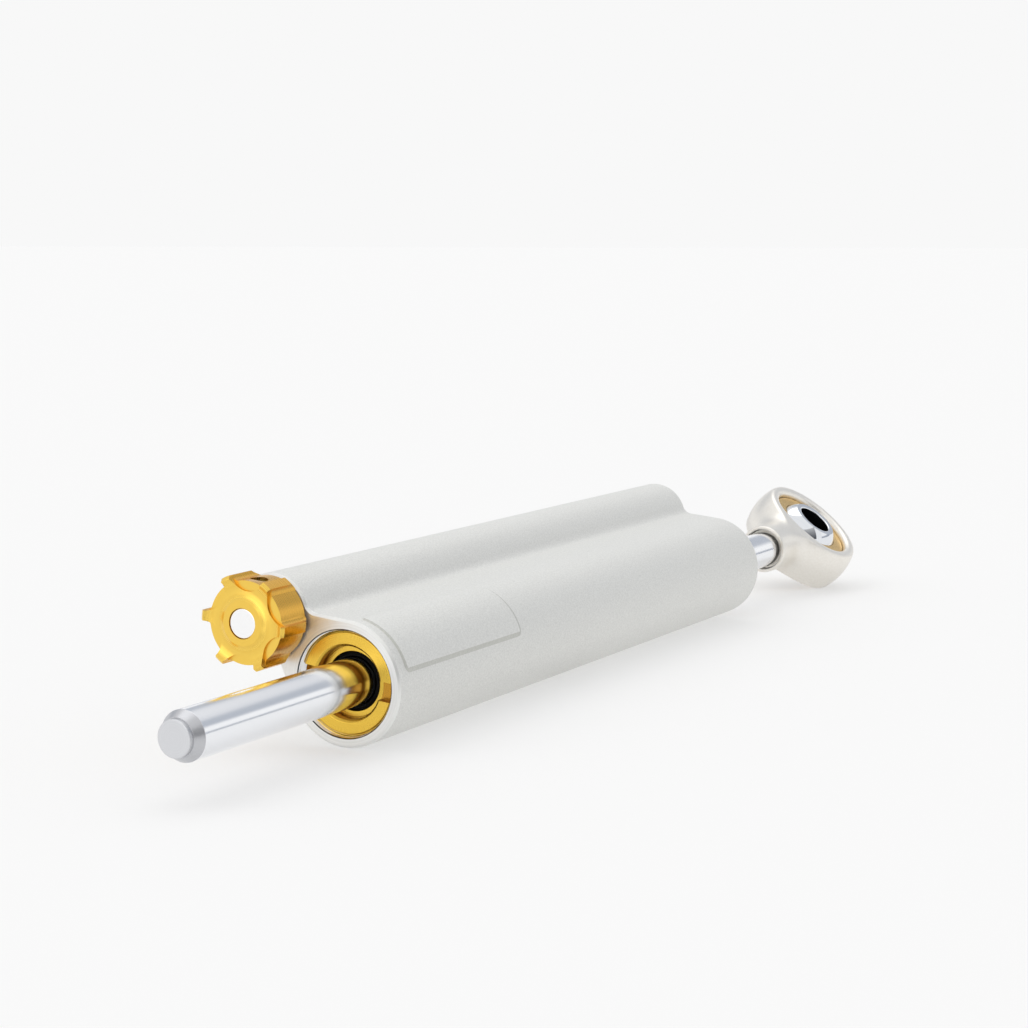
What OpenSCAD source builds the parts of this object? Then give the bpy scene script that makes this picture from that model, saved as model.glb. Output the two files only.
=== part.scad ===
// Linear steering damper for a motorcycle, with a rod that runs right through the housing.
// The rod lies along X with its eye at +X. The adjuster tube lies beside the rod tube and is
// raised above the level by the angle "lie". The origin is on the rod axis, half way along the housing.

/* [Housing] */
// Length of the housing
body_length = 152.4; // [146:0.2:170]
// Outside diameter of the tube round the rod
rod_tube_d = 21.2; // [20.6:0.1:23]
// Outside diameter of the tube round the adjuster
side_tube_d = 14.3; // [13.8:0.1:16]
// Distance between the axes of the two tubes
tube_spacing = 17.2; // [16.6:0.1:17.8]
// Radius of the hollows where the two tubes run together
hollow_radius = 5; // [3:0.5:8]
// Chamfer round the machined front face
front_chamfer = 0.4; // [0.2:0.1:0.8]
// Rounding round the rear face
rear_rounding = 1; // [0.4:0.1:1.4]
// Angle of the adjuster tube above the level
lie = 36.3; // [0:0.1:60]

/* [Panel] */
// Distance of the raised panel from the front face
panel_start = 2.5; // [2:0.5:20]
// Length of the raised panel along the rod tube
panel_length = 39.5; // [20:0.5:60]
// Angle that the panel spans round the rod tube
panel_span = 70; // [40:1:76]
// Angle of the panel's middle from the adjuster tube
panel_angle = 96; // [92:1:180]
// Height of the panel above the tube
panel_height = 0.3; // [0.1:0.05:0.6]
// Width of the panel's sloping edges along the tube
panel_slope = 0.7; // [0.5:0.1:1.6]
// Width of the panel's sloping edges at its ends
panel_end_slope = 0.3; // [0.2:0.1:1]
// Radius of the panel's corners
panel_corner = 1.3; // [1:0.1:4]

/* [Cylinder] */
// Bore that the piston runs in
cylinder_d = 15; // [14.4:0.1:15.8]
// Bore at each end for the seal head and its lock ring
head_bore_d = 17.6; // [17.2:0.1:18.4]
// Depth of that bore from the end face
head_depth = 34.2; // [30:0.1:37]
// Chamfer at the mouth of that bore
mouth_chamfer = 0.3; // [0.1:0.1:0.5]
// Oil drillings between the cylinder and the valve
port_d = 2.5; // [1.5:0.1:3]

/* [Lock rings] */
// Depth of a ring's face below the end face
ring_recess = 0.9; // [0.4:0.1:1.6]
// Thickness of a ring
ring_thickness = 2.6; // [2:0.1:4]
// Hole through a ring
ring_hole_d = 12.3; // [11.6:0.1:13.6]
// Width of the two spanner slots
slot_width = 3.2; // [2:0.1:4.5]
// Depth of the two spanner slots
slot_depth = 1.4; // [0.6:0.1:1.8]
// Angle of the front ring's slots from the adjuster tube
slot_angle = 150.3; // [0:0.1:180]

/* [Seal heads] */
// Width of the wiper that shows round the rod
wiper_show = 1; // [0.7:0.1:1.3]
// Height of the wiper from the rod
wiper_height = 2.4; // [1.8:0.1:2.8]
// Length of the wiper
wiper_length = 3.6; // [2.5:0.1:5]
// Height of the rod seal from the rod
seal_height = 2.1; // [1.6:0.1:2.6]
// Length of the rod seal
seal_length = 4; // [3:0.1:6]
// Wall of the guide bush
bush_wall = 1; // [0.7:0.1:1.5]
// Length of the guide bush
bush_length = 10; // [6:0.5:12]
// Section of the head's O-ring
head_o_ring = 1.6; // [1.2:0.1:2]

/* [Rod] */
// Diameter of the rod
rod_d = 8; // [7.4:0.1:8.4]
// Reach of the full rod ahead of the housing
rod_reach = 43.9; // [36:0.1:60]
// Length of the cone on the rod's tip
tip_cone = 1.6; // [0.5:0.1:2]
// Diameter of the small boss on the tip
tip_boss_d = 5.9; // [4:0.1:6.2]
// Length of the small boss on the tip
tip_boss_length = 0.8; // [0.4:0.1:2]

/* [Piston] */
// Length of the piston
piston_length = 14; // [12:0.5:18]
// Distance of the piston from the middle of the cylinder, towards the front
piston_offset = 7; // [0:0.5:12]
// Length of the narrow nose at each end of the piston
nose_length = 3; // [2:0.1:3.6]
// Width of the piston ring
piston_ring_width = 3; // [2:0.1:4]
// Thickness of the piston ring
piston_ring_height = 0.8; // [0.5:0.1:1]
// Section of the O-ring under the piston ring
piston_o_ring = 0.9; // [0.6:0.1:1]
// Thickness of the clips that hold the piston on the rod
clip_thickness = 1; // [0.6:0.1:1.2]
// Height of those clips above the rod
clip_height = 1.3; // [0.8:0.1:1.5]

/* [Rod end] */
// Gap between the housing's rear face and the mouth of the rod end
rod_end_gap = 28; // [24:0.1:44]
// Distance from that mouth to the centre of the eye
shank_length = 23.8; // [22:0.1:34]
// Gap round the rod at the mouth
mouth_gap = 0.6; // [0.3:0.1:1]
// Wall at the mouth
mouth_wall = 0.75; // [0.5:0.05:1.5]
// Thread length of the rod inside the rod end
stud_length = 8.5; // [5:0.1:9.5]
// Diameter of that thread
stud_d = 6.6; // [5:0.1:7]
// Outside diameter of the eye
eye_d = 26.4; // [25.6:0.1:28]
// Width of the eye
eye_width = 11; // [10.8:0.1:12]
// Radius where the shank runs into the eye
gusset_radius = 9; // [3:0.5:12]
// How deep the end of that hollow sinks into the eye
gusset_sink = 0.4; // [0.2:0.1:0.8]
// Angle of the eye's bore from the adjuster tube
eye_angle = 93.7; // [0:0.1:180]
// Outside diameter of the race
race_d = 19.5; // [18.4:0.1:20]
// Width of the race
race_width = 8; // [6:0.1:8.4]
// Diameter of the ball
ball_d = 16; // [15:0.1:16.8]
// Width of the ball across its flats
ball_width = 12; // [10:0.1:13]
// Bore of the ball
ball_bore_d = 8; // [6:0.1:8.4]

/* [Knob] */
// Diameter over the knob's lobes
knob_d = 16.2; // [15.6:0.1:18]
// Length of the knob at its lobes
knob_length = 8.2; // [7.8:0.1:10]
// Gap between the knob and the housing
knob_gap = 0.6; // [0.4:0.1:0.8]
// Number of lobes
lobes = 6; // [4:1:7]
// Width of a lobe at its tip
lobe_width = 1.7; // [1:0.1:2.5]
// Depth of the flutes between the lobes
flute_depth = 1.15; // [0.8:0.05:1.4]
// Radius at the foot of a lobe
lobe_foot = 1; // [0.4:0.1:1.4]
// Diameter of the bite at the front of each flute
bite_d = 7.3; // [5:0.1:7.6]
// Distance of the bite's centre from the knob's axis
bite_place = 8.95; // [8.6:0.05:9.6]
// Depth of the bite
bite_depth = 2.3; // [1:0.1:2.5]
// Depth of the dish round the knob's front face
dish_depth = 0.85; // [0.4:0.05:1.2]
// Depth of the collar round the spindle below the lobes' front
collar_drop = 0.25; // [0:0.05:0.35]
// Diameter of the grub screw
grub_d = 3; // [2:0.1:3.2]
// Distance of the grub screw from the knob's back
grub_place = 3.9; // [3:0.1:4]
// Angle of the grub screw from the line between the tubes
grub_angle = 60; // [0:1:120]

/* [Adjuster] */
// Diameter of the spindle
spindle_d = 5; // [4.4:0.1:5.4]
// Depth of the spindle's end below the knob's collar
spindle_recess = 0.15; // [0:0.05:0.5]
// Bore of the adjuster tube
side_bore_d = 9; // [8.8:0.1:9.6]
// Diameter of the adjuster's flange
flange_d = 11.4; // [11:0.1:11.8]
// Thickness of that flange
flange_thickness = 2; // [1.5:0.1:3]
// Length of the adjuster body
adjuster_length = 24; // [22:0.5:30]
// Length of the adjuster's front wall, where the spindle turns
front_wall = 8; // [7.5:0.1:10]
// Wall of the adjuster body behind that
sleeve_wall = 0.9; // [0.7:0.1:1]
// Thickness of the spindle's collar
spindle_collar = 1.9; // [1:0.1:3]
// Length of the needle's guide
guide_length = 4; // [3:0.1:6]
// Width of the needle's hexagon across its flats
hexagon = 3; // [2.6:0.1:3.4]
// Diameter of the needle's stem
needle_d = 3; // [2.6:0.1:3]
// Travel of the needle each way
needle_feed = 0.75; // [0.25:0.05:0.8]
// Depth of the valve seat's front from the housing's front face
seat_depth = 54; // [53:0.5:60]
// Length of the valve seat
seat_length = 6; // [4:0.5:8]
// Orifice through the valve seat
orifice_d = 2.4; // [1.6:0.1:2.5]
// Section of the small O-rings on the adjuster
small_o_ring = 0.9; // [0.6:0.1:0.9]
// Number of clicks in a turn of the knob
clicks = 16; // [8:1:20]
// Diameter of the detent ball
detent_d = 1.5; // [1.3:0.1:1.6]
// Distance of the detent ball from the knob's axis
detent_place = 4.2; // [4:0.1:4.4]
// Travel of the detent ball into a dimple
detent_travel = 0.28; // [0.1:0.02:0.3]

/* [Compensator] */
// Bore that the compensator runs in
compensator_bore_d = 8.4; // [8:0.1:8.6]
// Distance of the compensator from the housing's front face
compensator_place = 112; // [111:0.5:116]
// Length of the compensator
compensator_length = 8; // [7:0.5:10]
// Depth of its pocket for the spring
pocket_depth = 4.5; // [3:0.5:5]
// Wall of the housing behind the compensator's bore
end_wall = 8; // [4:0.5:10]
// Wire of the compensator's spring
spring_wire = 0.9; // [0.6:0.1:1]
// Middle diameter of the compensator's spring
spring_d = 4.2; // [3.6:0.1:4.4]
// Number of turns of the compensator's spring
spring_turns = 11; // [6:1:12]

/* [Fits] */
// Clearance round what turns or slides
running = 0.1; // [0.06:0.01:0.12]
// Clearance round what is pressed, screwed or seated
seated = 0.05; // [0.02:0.01:0.06]

/* [Hidden] */
$fn = 96;

gold = "#d6a127";
grey = "#d5d5d3";
steel = "#c4c7cc";
black = "#1c1c1e";
brass = "#c79a45";
nickel = "#d9d6cf";
bright = "#e9e9e7";
brown = "#5b4634";
overcut = 1;

// Housing
half = body_length / 2;
rod_tube_r = rod_tube_d / 2;
side_tube_r = side_tube_d / 2;
cylinder_r = cylinder_d / 2;
head_bore_r = head_bore_d / 2;
main_reach = rod_tube_r + hollow_radius;
side_reach = side_tube_r + hollow_radius;
hollow_y = (main_reach * main_reach - side_reach * side_reach + tube_spacing * tube_spacing)
    / (2 * tube_spacing);
hollow_z = sqrt(main_reach * main_reach - hollow_y * hollow_y);
hollow_step = 0.3;
cylinder_end = half - head_depth;

// Seal heads, in depths from an end face
rod_r = rod_d / 2;
head_r = head_bore_r - seated;
head_start = ring_recess + ring_thickness;
wiper_mouth_r = rod_r + wiper_show;
wiper_r = rod_r + wiper_height;
wiper_lip = 0.8;
seal_wall = 2;
groove_wall = 1.5;
groove_room = 0.5;
wiper_start = head_start + wiper_lip;
wiper_end = wiper_start + wiper_length;
seal_r = rod_r + seal_height;
seal_start = wiper_end + seal_wall;
seal_end = seal_start + seal_length;
bush_r = rod_r + running + bush_wall;
bush_start = head_depth - bush_length;
rod_hole_r = rod_r + 2 * running;
head_groove_start = seal_end + groove_wall;
head_groove_width = head_o_ring + groove_room;
head_groove_r = head_r - head_o_ring - seated;

// Rod and piston
rod_front = -half - rod_reach;
piston_mid = -piston_offset;
piston_half = piston_length / 2;
piston_ring_r = cylinder_r - running;
land_r = piston_ring_r - running;
ring_floor_r = piston_ring_r - piston_ring_height - seated - piston_o_ring - seated;
clip_r = rod_r + clip_height;
clip_depth = 0.6;
clip_play = 0.1;
clip_room = 0.3;
clip_from_end = 0.3;
nose_wall = 0.8;
pocket_r = clip_r + clip_room;
nose_r = pocket_r + nose_wall;
end_pocket = clip_from_end + clip_thickness + clip_play;

// Rod end
mouth_x = half + rod_end_gap;
eye_x = mouth_x + shank_length;
shank_r = rod_r + mouth_gap + mouth_wall;
mouth_depth = 2;
stud_chamfer = 0.5;
eye_r = eye_d / 2;
eye_half = eye_width / 2;
race_r = race_d / 2;
race_half = race_width / 2;
ball_r = ball_d / 2;
ball_half = ball_width / 2;
rim_r = (race_r + eye_r) / 2;

// Knob, in distances ahead of the knob's back
knob_r = knob_d / 2;
flute_r = knob_r - flute_depth;
spindle_r = spindle_d / 2;
collar_front = knob_length - collar_drop;
knob_x = -half - knob_gap;

// Adjuster, in depths from the housing's front face
side_bore_r = side_bore_d / 2;
flange_r = flange_d / 2;
adjuster_r = side_bore_r - seated;
spindle_hole_r = spindle_r + running;
sleeve_r = adjuster_r - sleeve_wall;
guide_start = adjuster_length - guide_length;
spindle_end = guide_start - running;
spindle_front = -knob_gap - collar_front + spindle_recess;
tail_r = needle_d / 2;
tail_hole_r = tail_r + running;
hexagon_start = guide_start + needle_feed + 2 * running;
hexagon_spare = 1;
hexagon_end = adjuster_length + needle_feed + hexagon_spare;
orifice_r = orifice_d / 2;
funnel = 2;
needle_taper = 0.14;
throat = seat_depth + funnel;
cone_start = throat - needle_feed - (tail_r - orifice_r + 2 * running) / needle_taper;
needle_tip_r = 0.4;
needle_end = cone_start + (tail_r - needle_tip_r) / needle_taper;
seat_end = seat_depth + seat_length;
small_groove_room = 0.4;
small_groove = small_o_ring + small_groove_room;
groove_lead = 1;
groove_step = 0.8;
adjuster_groove_start = flange_thickness + groove_lead;
spindle_groove_start = adjuster_groove_start + small_groove + groove_step;

// Detent, with the ball drawn clear of the dimples
detent_r = detent_d / 2;
detent_hole_r = detent_r + running;
detent_x = -half - detent_r - running / 2;
detent_hole_depth = 4;
dimple_x = detent_x + detent_travel;
detent_angle = grub_angle + 180;
detent_wire = 0.3;
detent_turns = 2;

// Compensator, in depths from the housing's front face
compensator_bore_r = compensator_bore_d / 2;
compensator_r = compensator_bore_r - running;
compensator_end = compensator_place + compensator_length;
bore_end = body_length - end_wall;
spring_hole_r = spring_d / 2 + spring_wire / 2 + 2 * running;
compensator_groove = compensator_place + groove_lead;

// Oil drillings, along a line from the mouth of the head bore through the cylinder's wall
port_r = port_d / 2;
port_from = [-half, -head_bore_r + port_r + running];
port_slope = atan((cylinder_r - port_from[1]) / (head_depth + port_d));
port_through = [-cylinder_end + port_r / sin(port_slope) + running, cylinder_r];

// Leans what is drawn with the adjuster tube towards +Y into its place
module leaned() {
    rotate([lie, 0, 0])
        children();
}

// Turns [radius, place] points about the X axis
module turned(points) {
    rotate([0, 90, 0])
        rotate_extrude()
            polygon(points);
}

// A plain ring from one place to another
module ring(inner, outer, from, to) {
    turned([[inner, from], [outer, from], [outer, to], [inner, to]]);
}

// An O-ring of round section about the X axis
module o_ring(middle_r, section, place) {
    translate([place, 0, 0])
        rotate([0, 90, 0])
            rotate_extrude()
                translate([middle_r, 0])
                    circle(d = section, $fn = 32);
}

// Moves what is drawn about the rod axis to the adjuster's axis
module at_side() {
    translate([0, tube_spacing, 0])
        children();
}

// Places depths from an end face: front is -1, rear is 1
module from_end(end) {
    if (end < 0)
        translate([-half, 0, 0])
            children();
    else
        translate([half, 0, 0])
            mirror([1, 0, 0])
                children();
}

// One unbroken tube of wire that winds round X, with its ends drawn in by half a wire
function wind(mean_r, length, turns, wire, rings, sides) = [
    for (i = [0 : turns * rings])
        let (turn = 360 * i / rings, along = wire / 2 + (length - wire) * i / (turns * rings))
            for (j = [0 : sides - 1])
                let (out = mean_r + wire / 2 * cos(360 * j / sides))
                    [along + wire / 2 * sin(360 * j / sides), out * cos(turn), out * sin(turn)]
];
function wind_sides(last, sides) = [
    for (i = [0 : last - 1])
        for (j = [0 : sides - 1])
            let (a = i * sides + j, b = i * sides + (j + 1) % sides)
                each [[a, b, a + sides], [b, b + sides, a + sides]]
];
function wind_ends(last, sides) = [
    for (j = [1 : sides - 2])
        each [[0, j + 1, j], [last * sides, last * sides + j, last * sides + j + 1]]
];
module coil(mean_r, length, turns, wire) {
    rings = 8;
    sides = 6;
    last = turns * rings;
    polyhedron(
        wind(mean_r, length, turns, wire, rings, sides),
        concat(wind_sides(last, sides), wind_ends(last, sides))
    );
}

// Points of a quarter circle from the outside of a tube to its rear face
function rear_edge(radius, sign) = [
    for (a = [0 : 15 : 90])
        [radius - sign * rear_rounding * (1 - cos(a)), half - rear_rounding * (1 - sin(a))]
];

module housing_tube(radius) {
    turned(concat(
        [[0, -half], [radius - front_chamfer, -half], [radius, -half + front_chamfer]],
        rear_edge(radius, 1),
        [[0, half]]
    ));
}

// The hollow between the tubes, flared to follow the chamfer and the rounding
module hollow_cutter() {
    turned(concat(
        [[0, -half - overcut], [hollow_radius + front_chamfer, -half - overcut]],
        [[hollow_radius + front_chamfer, -half], [hollow_radius, -half + front_chamfer]],
        rear_edge(hollow_radius, -1),
        [[hollow_radius + rear_rounding, half + overcut], [0, half + overcut]]
    ));
}

module housing_outside() {
    housing_tube(rod_tube_r);
    at_side()
        housing_tube(side_tube_r);
    difference() {
        translate([-half, 0, 0])
            rotate([90, 0, 90])
                linear_extrude(body_length)
                    polygon([
                        [0, 0],
                        [hollow_y, hollow_step - hollow_z],
                        [tube_spacing, 0],
                        [hollow_y, hollow_z - hollow_step]
                    ]);
        for (side = [-1, 1])
            translate([0, hollow_y, side * hollow_z])
                hollow_cutter();
    }
}

module rounded_plate(length, width, corner) {
    square([length - 2 * corner, width], center = true);
    square([length, width - 2 * corner], center = true);
    for (x = [-1, 1])
        for (y = [-1, 1])
            translate([x * (length / 2 - corner), y * (width / 2 - corner)])
                circle(r = corner, $fn = 32);
}

// The panel stands proud of the rod tube, with round corners and sloping edges that run on under its surface
module raised_panel() {
    from = panel_start - half;
    to = from + panel_length;
    top_r = rod_tube_r + panel_height;
    span = panel_span / 2;
    foot = rod_tube_r * [sin(span), cos(span)];
    crest_span = span - asin(panel_slope / rod_tube_r);
    crest = top_r * [sin(crest_span), cos(crest_span)];
    root = foot + (foot - crest) / 2;
    over = crest + (crest - foot) / 2;
    root_r = rod_tube_r - panel_height / 2;
    outside = panel_end_slope / 2;
    margin = panel_slope / 4;
    rotate([panel_angle - 90, 0, 0])
        intersection() {
            turned([
                [cylinder_r, from - outside], [root_r, from - outside], [top_r, from + panel_end_slope],
                [top_r, to - panel_end_slope], [root_r, to + outside], [cylinder_r, to + outside]
            ]);
            translate([from - panel_slope, 0, 0])
                rotate([90, 0, 90])
                    linear_extrude(panel_length + 2 * panel_slope)
                        polygon([
                            [-root[0], 0], [root[0], 0], root, over,
                            [over[0], top_r + overcut], [-over[0], top_r + overcut],
                            [-over[0], over[1]], [-root[0], root[1]]
                        ]);
            translate([(from + to) / 2, 0, 0])
                linear_extrude(top_r + overcut)
                    rounded_plate(panel_length + 2 * margin, 2 * (foot[0] + margin), panel_corner);
        }
}

module cylinder_bore() {
    turned([
        [0, -half - overcut],
        [head_bore_r + mouth_chamfer, -half - overcut],
        [head_bore_r + mouth_chamfer, -half],
        [head_bore_r, -half + mouth_chamfer],
        [head_bore_r, -cylinder_end],
        [cylinder_r, -cylinder_end],
        [cylinder_r, cylinder_end],
        [head_bore_r, cylinder_end],
        [head_bore_r, half - mouth_chamfer],
        [head_bore_r + mouth_chamfer, half],
        [head_bore_r + mouth_chamfer, half + overcut],
        [0, half + overcut]
    ]);
}

module adjuster_bore() {
    from_end(-1)
        at_side()
            turned([
                [0, -overcut],
                [flange_r + seated, -overcut],
                [flange_r + seated, flange_thickness],
                [side_bore_r, flange_thickness],
                [side_bore_r, seat_end],
                [compensator_bore_r, seat_end],
                [compensator_bore_r, bore_end],
                [0, bore_end]
            ]);
}

// An inclined drilling from the cylinder's end to the adjuster tube
module oil_port() {
    translate([port_through[0], port_through[1] - overcut, 0])
        rotate([0, 90, port_slope])
            translate([0, 0, -overcut])
                cylinder(r = port_r, h = (tube_spacing - cylinder_r) / sin(port_slope));
}

module housing() {
    color(grey)
        leaned()
            difference() {
                union() {
                    housing_outside();
                    raised_panel();
                }
                cylinder_bore();
                adjuster_bore();
                oil_port();
                mirror([1, 0, 0])
                    oil_port();
            }
}

module lock_ring(end, angle) {
    chamfer = 0.4;
    outer = head_r;
    hole = ring_hole_d / 2;
    color(gold)
        leaned()
            from_end(end)
                difference() {
                    turned([
                        [hole, ring_recess + chamfer],
                        [hole + chamfer, ring_recess],
                        [outer - chamfer, ring_recess],
                        [outer, ring_recess + chamfer],
                        [outer, head_start],
                        [hole, head_start]
                    ]);
                    rotate([angle, 0, 0])
                        translate([ring_recess - overcut, -head_bore_r, -slot_width / 2])
                            cube([slot_depth + overcut, head_bore_d, slot_width]);
                }
}

module seal_head(end) {
    lip = 0.4;
    lip_room = 0.2;
    lip_r = ring_hole_d / 2 - lip_room;
    waist_depth = 0.8;
    waist_slope = 1;
    foot_length = 3;
    waist_start = head_groove_start + head_groove_width + seal_wall;
    waist_r = max(head_r - waist_depth, bush_r + waist_depth);
    color(gold)
        leaned()
            from_end(end)
                turned([
                    [wiper_mouth_r, head_start - lip],
                    [lip_r, head_start - lip],
                    [lip_r, head_start],
                    [head_r, head_start],
                    [head_r, head_groove_start],
                    [head_groove_r, head_groove_start],
                    [head_groove_r, head_groove_start + head_groove_width],
                    [head_r, head_groove_start + head_groove_width],
                    [head_r, waist_start],
                    [waist_r, waist_start + waist_slope],
                    [waist_r, head_depth - foot_length - waist_slope],
                    [head_r, head_depth - foot_length],
                    [head_r, head_depth],
                    [bush_r + seated, head_depth],
                    [bush_r + seated, bush_start],
                    [rod_hole_r, bush_start],
                    [rod_hole_r, seal_end],
                    [seal_r + seated, seal_end],
                    [seal_r + seated, seal_start],
                    [rod_hole_r, seal_start],
                    [rod_hole_r, wiper_end],
                    [wiper_r + seated, wiper_end],
                    [wiper_r + seated, wiper_start],
                    [wiper_mouth_r, wiper_start]
                ]);
}

module wiper(end) {
    inner = rod_r + running;
    lip_width = 0.25;
    lip_reach = 0.2;
    lip_length = 1;
    shoulder = 0.4;
    relief = 0.6;
    color(black)
        leaned()
            from_end(end)
                turned([
                    [inner, head_start],
                    [inner + lip_width, head_start - lip_reach],
                    [wiper_mouth_r - seated, wiper_start - shoulder],
                    [wiper_mouth_r - seated, wiper_start],
                    [wiper_r, wiper_start],
                    [wiper_r, wiper_end],
                    [inner + relief, wiper_end],
                    [inner + relief, wiper_start + lip_length]
                ]);
}

module rod_seal(end) {
    inner = rod_r + running;
    middle = (inner + seal_r) / 2;
    edge = 0.3;
    notch = 0.1;
    color(black)
        leaned()
            from_end(end)
                turned([
                    [inner + edge, seal_start],
                    [seal_r, seal_start],
                    [seal_r, seal_end - edge],
                    [seal_r - edge, seal_end],
                    [middle + notch, seal_start + seal_length / 2],
                    [middle - notch, seal_start + seal_length / 2],
                    [inner + edge, seal_end],
                    [inner, seal_end - edge]
                ]);
}

module bush(end) {
    color(brass)
        leaned()
            from_end(end)
                ring(rod_r + running, bush_r, bush_start, head_depth);
}

module head_o_ring_seal(end) {
    color(black)
        leaned()
            from_end(end)
                o_ring(head_r - head_o_ring / 2, head_o_ring, head_groove_start + head_groove_width / 2);
}

module piston() {
    groove = piston_ring_width / 2 + seated;
    nose = piston_half - nose_length;
    inner = rod_r + running;
    color(brass)
        leaned()
            translate([piston_mid, 0, 0])
                turned([
                    [inner, end_pocket - piston_half],
                    [pocket_r, end_pocket - piston_half],
                    [pocket_r, -piston_half],
                    [nose_r, -piston_half],
                    [nose_r, -nose],
                    [land_r, -nose],
                    [land_r, -groove],
                    [ring_floor_r, -groove],
                    [ring_floor_r, groove],
                    [land_r, groove],
                    [land_r, nose],
                    [nose_r, nose],
                    [nose_r, piston_half],
                    [pocket_r, piston_half],
                    [pocket_r, piston_half - end_pocket],
                    [inner, piston_half - end_pocket]
                ]);
}

module piston_ring() {
    color(brown)
        leaned()
            translate([piston_mid, 0, 0])
                ring(
                    piston_ring_r - piston_ring_height, piston_ring_r,
                    -piston_ring_width / 2, piston_ring_width / 2
                );
}

module piston_o_ring_seal() {
    color(black)
        leaned()
            o_ring(ring_floor_r + seated + piston_o_ring / 2, piston_o_ring, piston_mid);
}

module piston_clips() {
    gap = 3;
    color(steel)
        leaned()
            for (side = [-1, 1])
                translate([piston_mid, 0, 0])
                    mirror([side < 0 ? 1 : 0, 0, 0])
                        translate([piston_half - clip_from_end - clip_thickness, 0, 0])
                            difference() {
                                ring(rod_r - clip_depth + seated, clip_r, 0, clip_thickness);
                                translate([-overcut, -gap / 2, 0])
                                    cube([clip_thickness + 2 * overcut, gap, clip_r + overcut]);
                            }
}

module rod() {
    tip_step = 0.15;
    tip_edge = 0.2;
    groove_r = rod_r - clip_depth;
    groove_far = piston_half - clip_from_end + seated;
    groove_near = groove_far - clip_thickness - 2 * seated;
    stud_start = mouth_x + mouth_depth;
    stud_r = stud_d / 2 - seated;
    color(steel)
        leaned()
            turned([
                [0, rod_front - tip_cone - tip_boss_length],
                [tip_boss_d / 2 - tip_edge, rod_front - tip_cone - tip_boss_length],
                [tip_boss_d / 2, rod_front - tip_cone - tip_boss_length + tip_edge],
                [tip_boss_d / 2, rod_front - tip_cone],
                [tip_boss_d / 2 + tip_step, rod_front - tip_cone],
                [rod_r, rod_front],
                [rod_r, piston_mid - groove_far],
                [groove_r, piston_mid - groove_far],
                [groove_r, piston_mid - groove_near],
                [rod_r, piston_mid - groove_near],
                [rod_r, piston_mid + groove_near],
                [groove_r, piston_mid + groove_near],
                [groove_r, piston_mid + groove_far],
                [rod_r, piston_mid + groove_far],
                [rod_r, stud_start],
                [stud_r, stud_start],
                [stud_r, stud_start + stud_length - stud_chamfer],
                [stud_r - stud_chamfer, stud_start + stud_length],
                [0, stud_start + stud_length]
            ]);
}

// Turns what is drawn about Z at the eye's centre onto the eye's bore axis
module at_eye() {
    rotate([eye_angle - 90, 0, 0])
        translate([eye_x, 0, 0])
            children();
}

// Section of the eye's rim: a ball's bulge outside, which runs into fully round ends
function rounded_rim(inner, outer, width) =
    let (
        room = outer - width + inner,
        rounding = sqrt(room ^ 2 + outer ^ 2 - width ^ 2 - inner ^ 2) - room,
        middle = inner + rounding,
        shoulder = width - rounding,
        lean = atan(shoulder / middle),
        turn = 180 - lean,
        bulge_steps = 6,
        end_steps = 11
    )
        concat(
            [for (i = [0 : bulge_steps]) let (a = lean * (2 * i / bulge_steps - 1)) outer * [cos(a), sin(a)]],
            [for (i = [1 : end_steps]) let (a = lean + turn * i / end_steps)
                [middle + rounding * cos(a), shoulder + rounding * sin(a)]],
            [for (i = [0 : end_steps - 1]) let (a = 180 + turn * i / end_steps)
                [middle + rounding * cos(a), rounding * sin(a) - shoulder]]
        );

module rod_end() {
    mouth_edge = mouth_wall / 2;
    recess_r = rod_r + mouth_gap;
    stud_hole_end = mouth_depth + stud_length + stud_chamfer;
    gusset_y = shank_r + gusset_radius;
    gusset_r = eye_r - gusset_sink + gusset_radius;
    gusset_x = sqrt(gusset_r ^ 2 - gusset_y ^ 2);
    gusset_end = gusset_x * (eye_r - gusset_sink) / gusset_r;
    gusset_angle = atan(gusset_x / gusset_y);
    steps = 6;
    flat = shank_r + seated;
    color(nickel)
        leaned()
            at_eye()
                difference() {
                    union() {
                        rotate_extrude()
                            polygon(rounded_rim(race_r, eye_r, eye_half));
                        difference() {
                            intersection() {
                                turned(concat(
                                    [for (a = [0 : 30 : 180]) [
                                        shank_r - mouth_edge + mouth_edge * -cos(a),
                                        -shank_length + mouth_edge * (1 - sin(a))
                                    ]],
                                    [for (i = [0 : steps]) [
                                        gusset_y - gusset_radius * cos(gusset_angle * i / steps),
                                        -gusset_x + gusset_radius * sin(gusset_angle * i / steps)
                                    ]],
                                    [[0, -gusset_end], [0, mouth_edge - shank_length]]
                                ));
                                translate([-shank_length - overcut, -eye_d, -flat])
                                    cube([shank_length + overcut, 2 * eye_d, 2 * flat]);
                            }
                            translate([0, 0, -eye_width])
                                cylinder(r = rim_r, h = 2 * eye_width);
                        }
                    }
                    turned([
                        [0, -shank_length - overcut],
                        [recess_r, -shank_length - overcut],
                        [recess_r, mouth_depth - shank_length],
                        [stud_d / 2, mouth_depth - shank_length],
                        [stud_d / 2, stud_hole_end - shank_length],
                        [0, stud_hole_end - shank_length]
                    ]);
                }
}

module rod_end_race() {
    color(brass)
        leaned()
            at_eye()
                difference() {
                    translate([0, 0, -race_half])
                        cylinder(r = race_r - seated, h = race_width);
                    sphere(r = ball_r + running);
                }
}

module rod_end_ball() {
    color(steel)
        leaned()
            at_eye()
                difference() {
                    intersection() {
                        sphere(r = ball_r);
                        translate([0, 0, -ball_half])
                            cylinder(r = ball_d, h = ball_width);
                    }
                    translate([0, 0, -ball_width])
                        cylinder(d = ball_bore_d, h = 2 * ball_width);
                }
}

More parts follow.
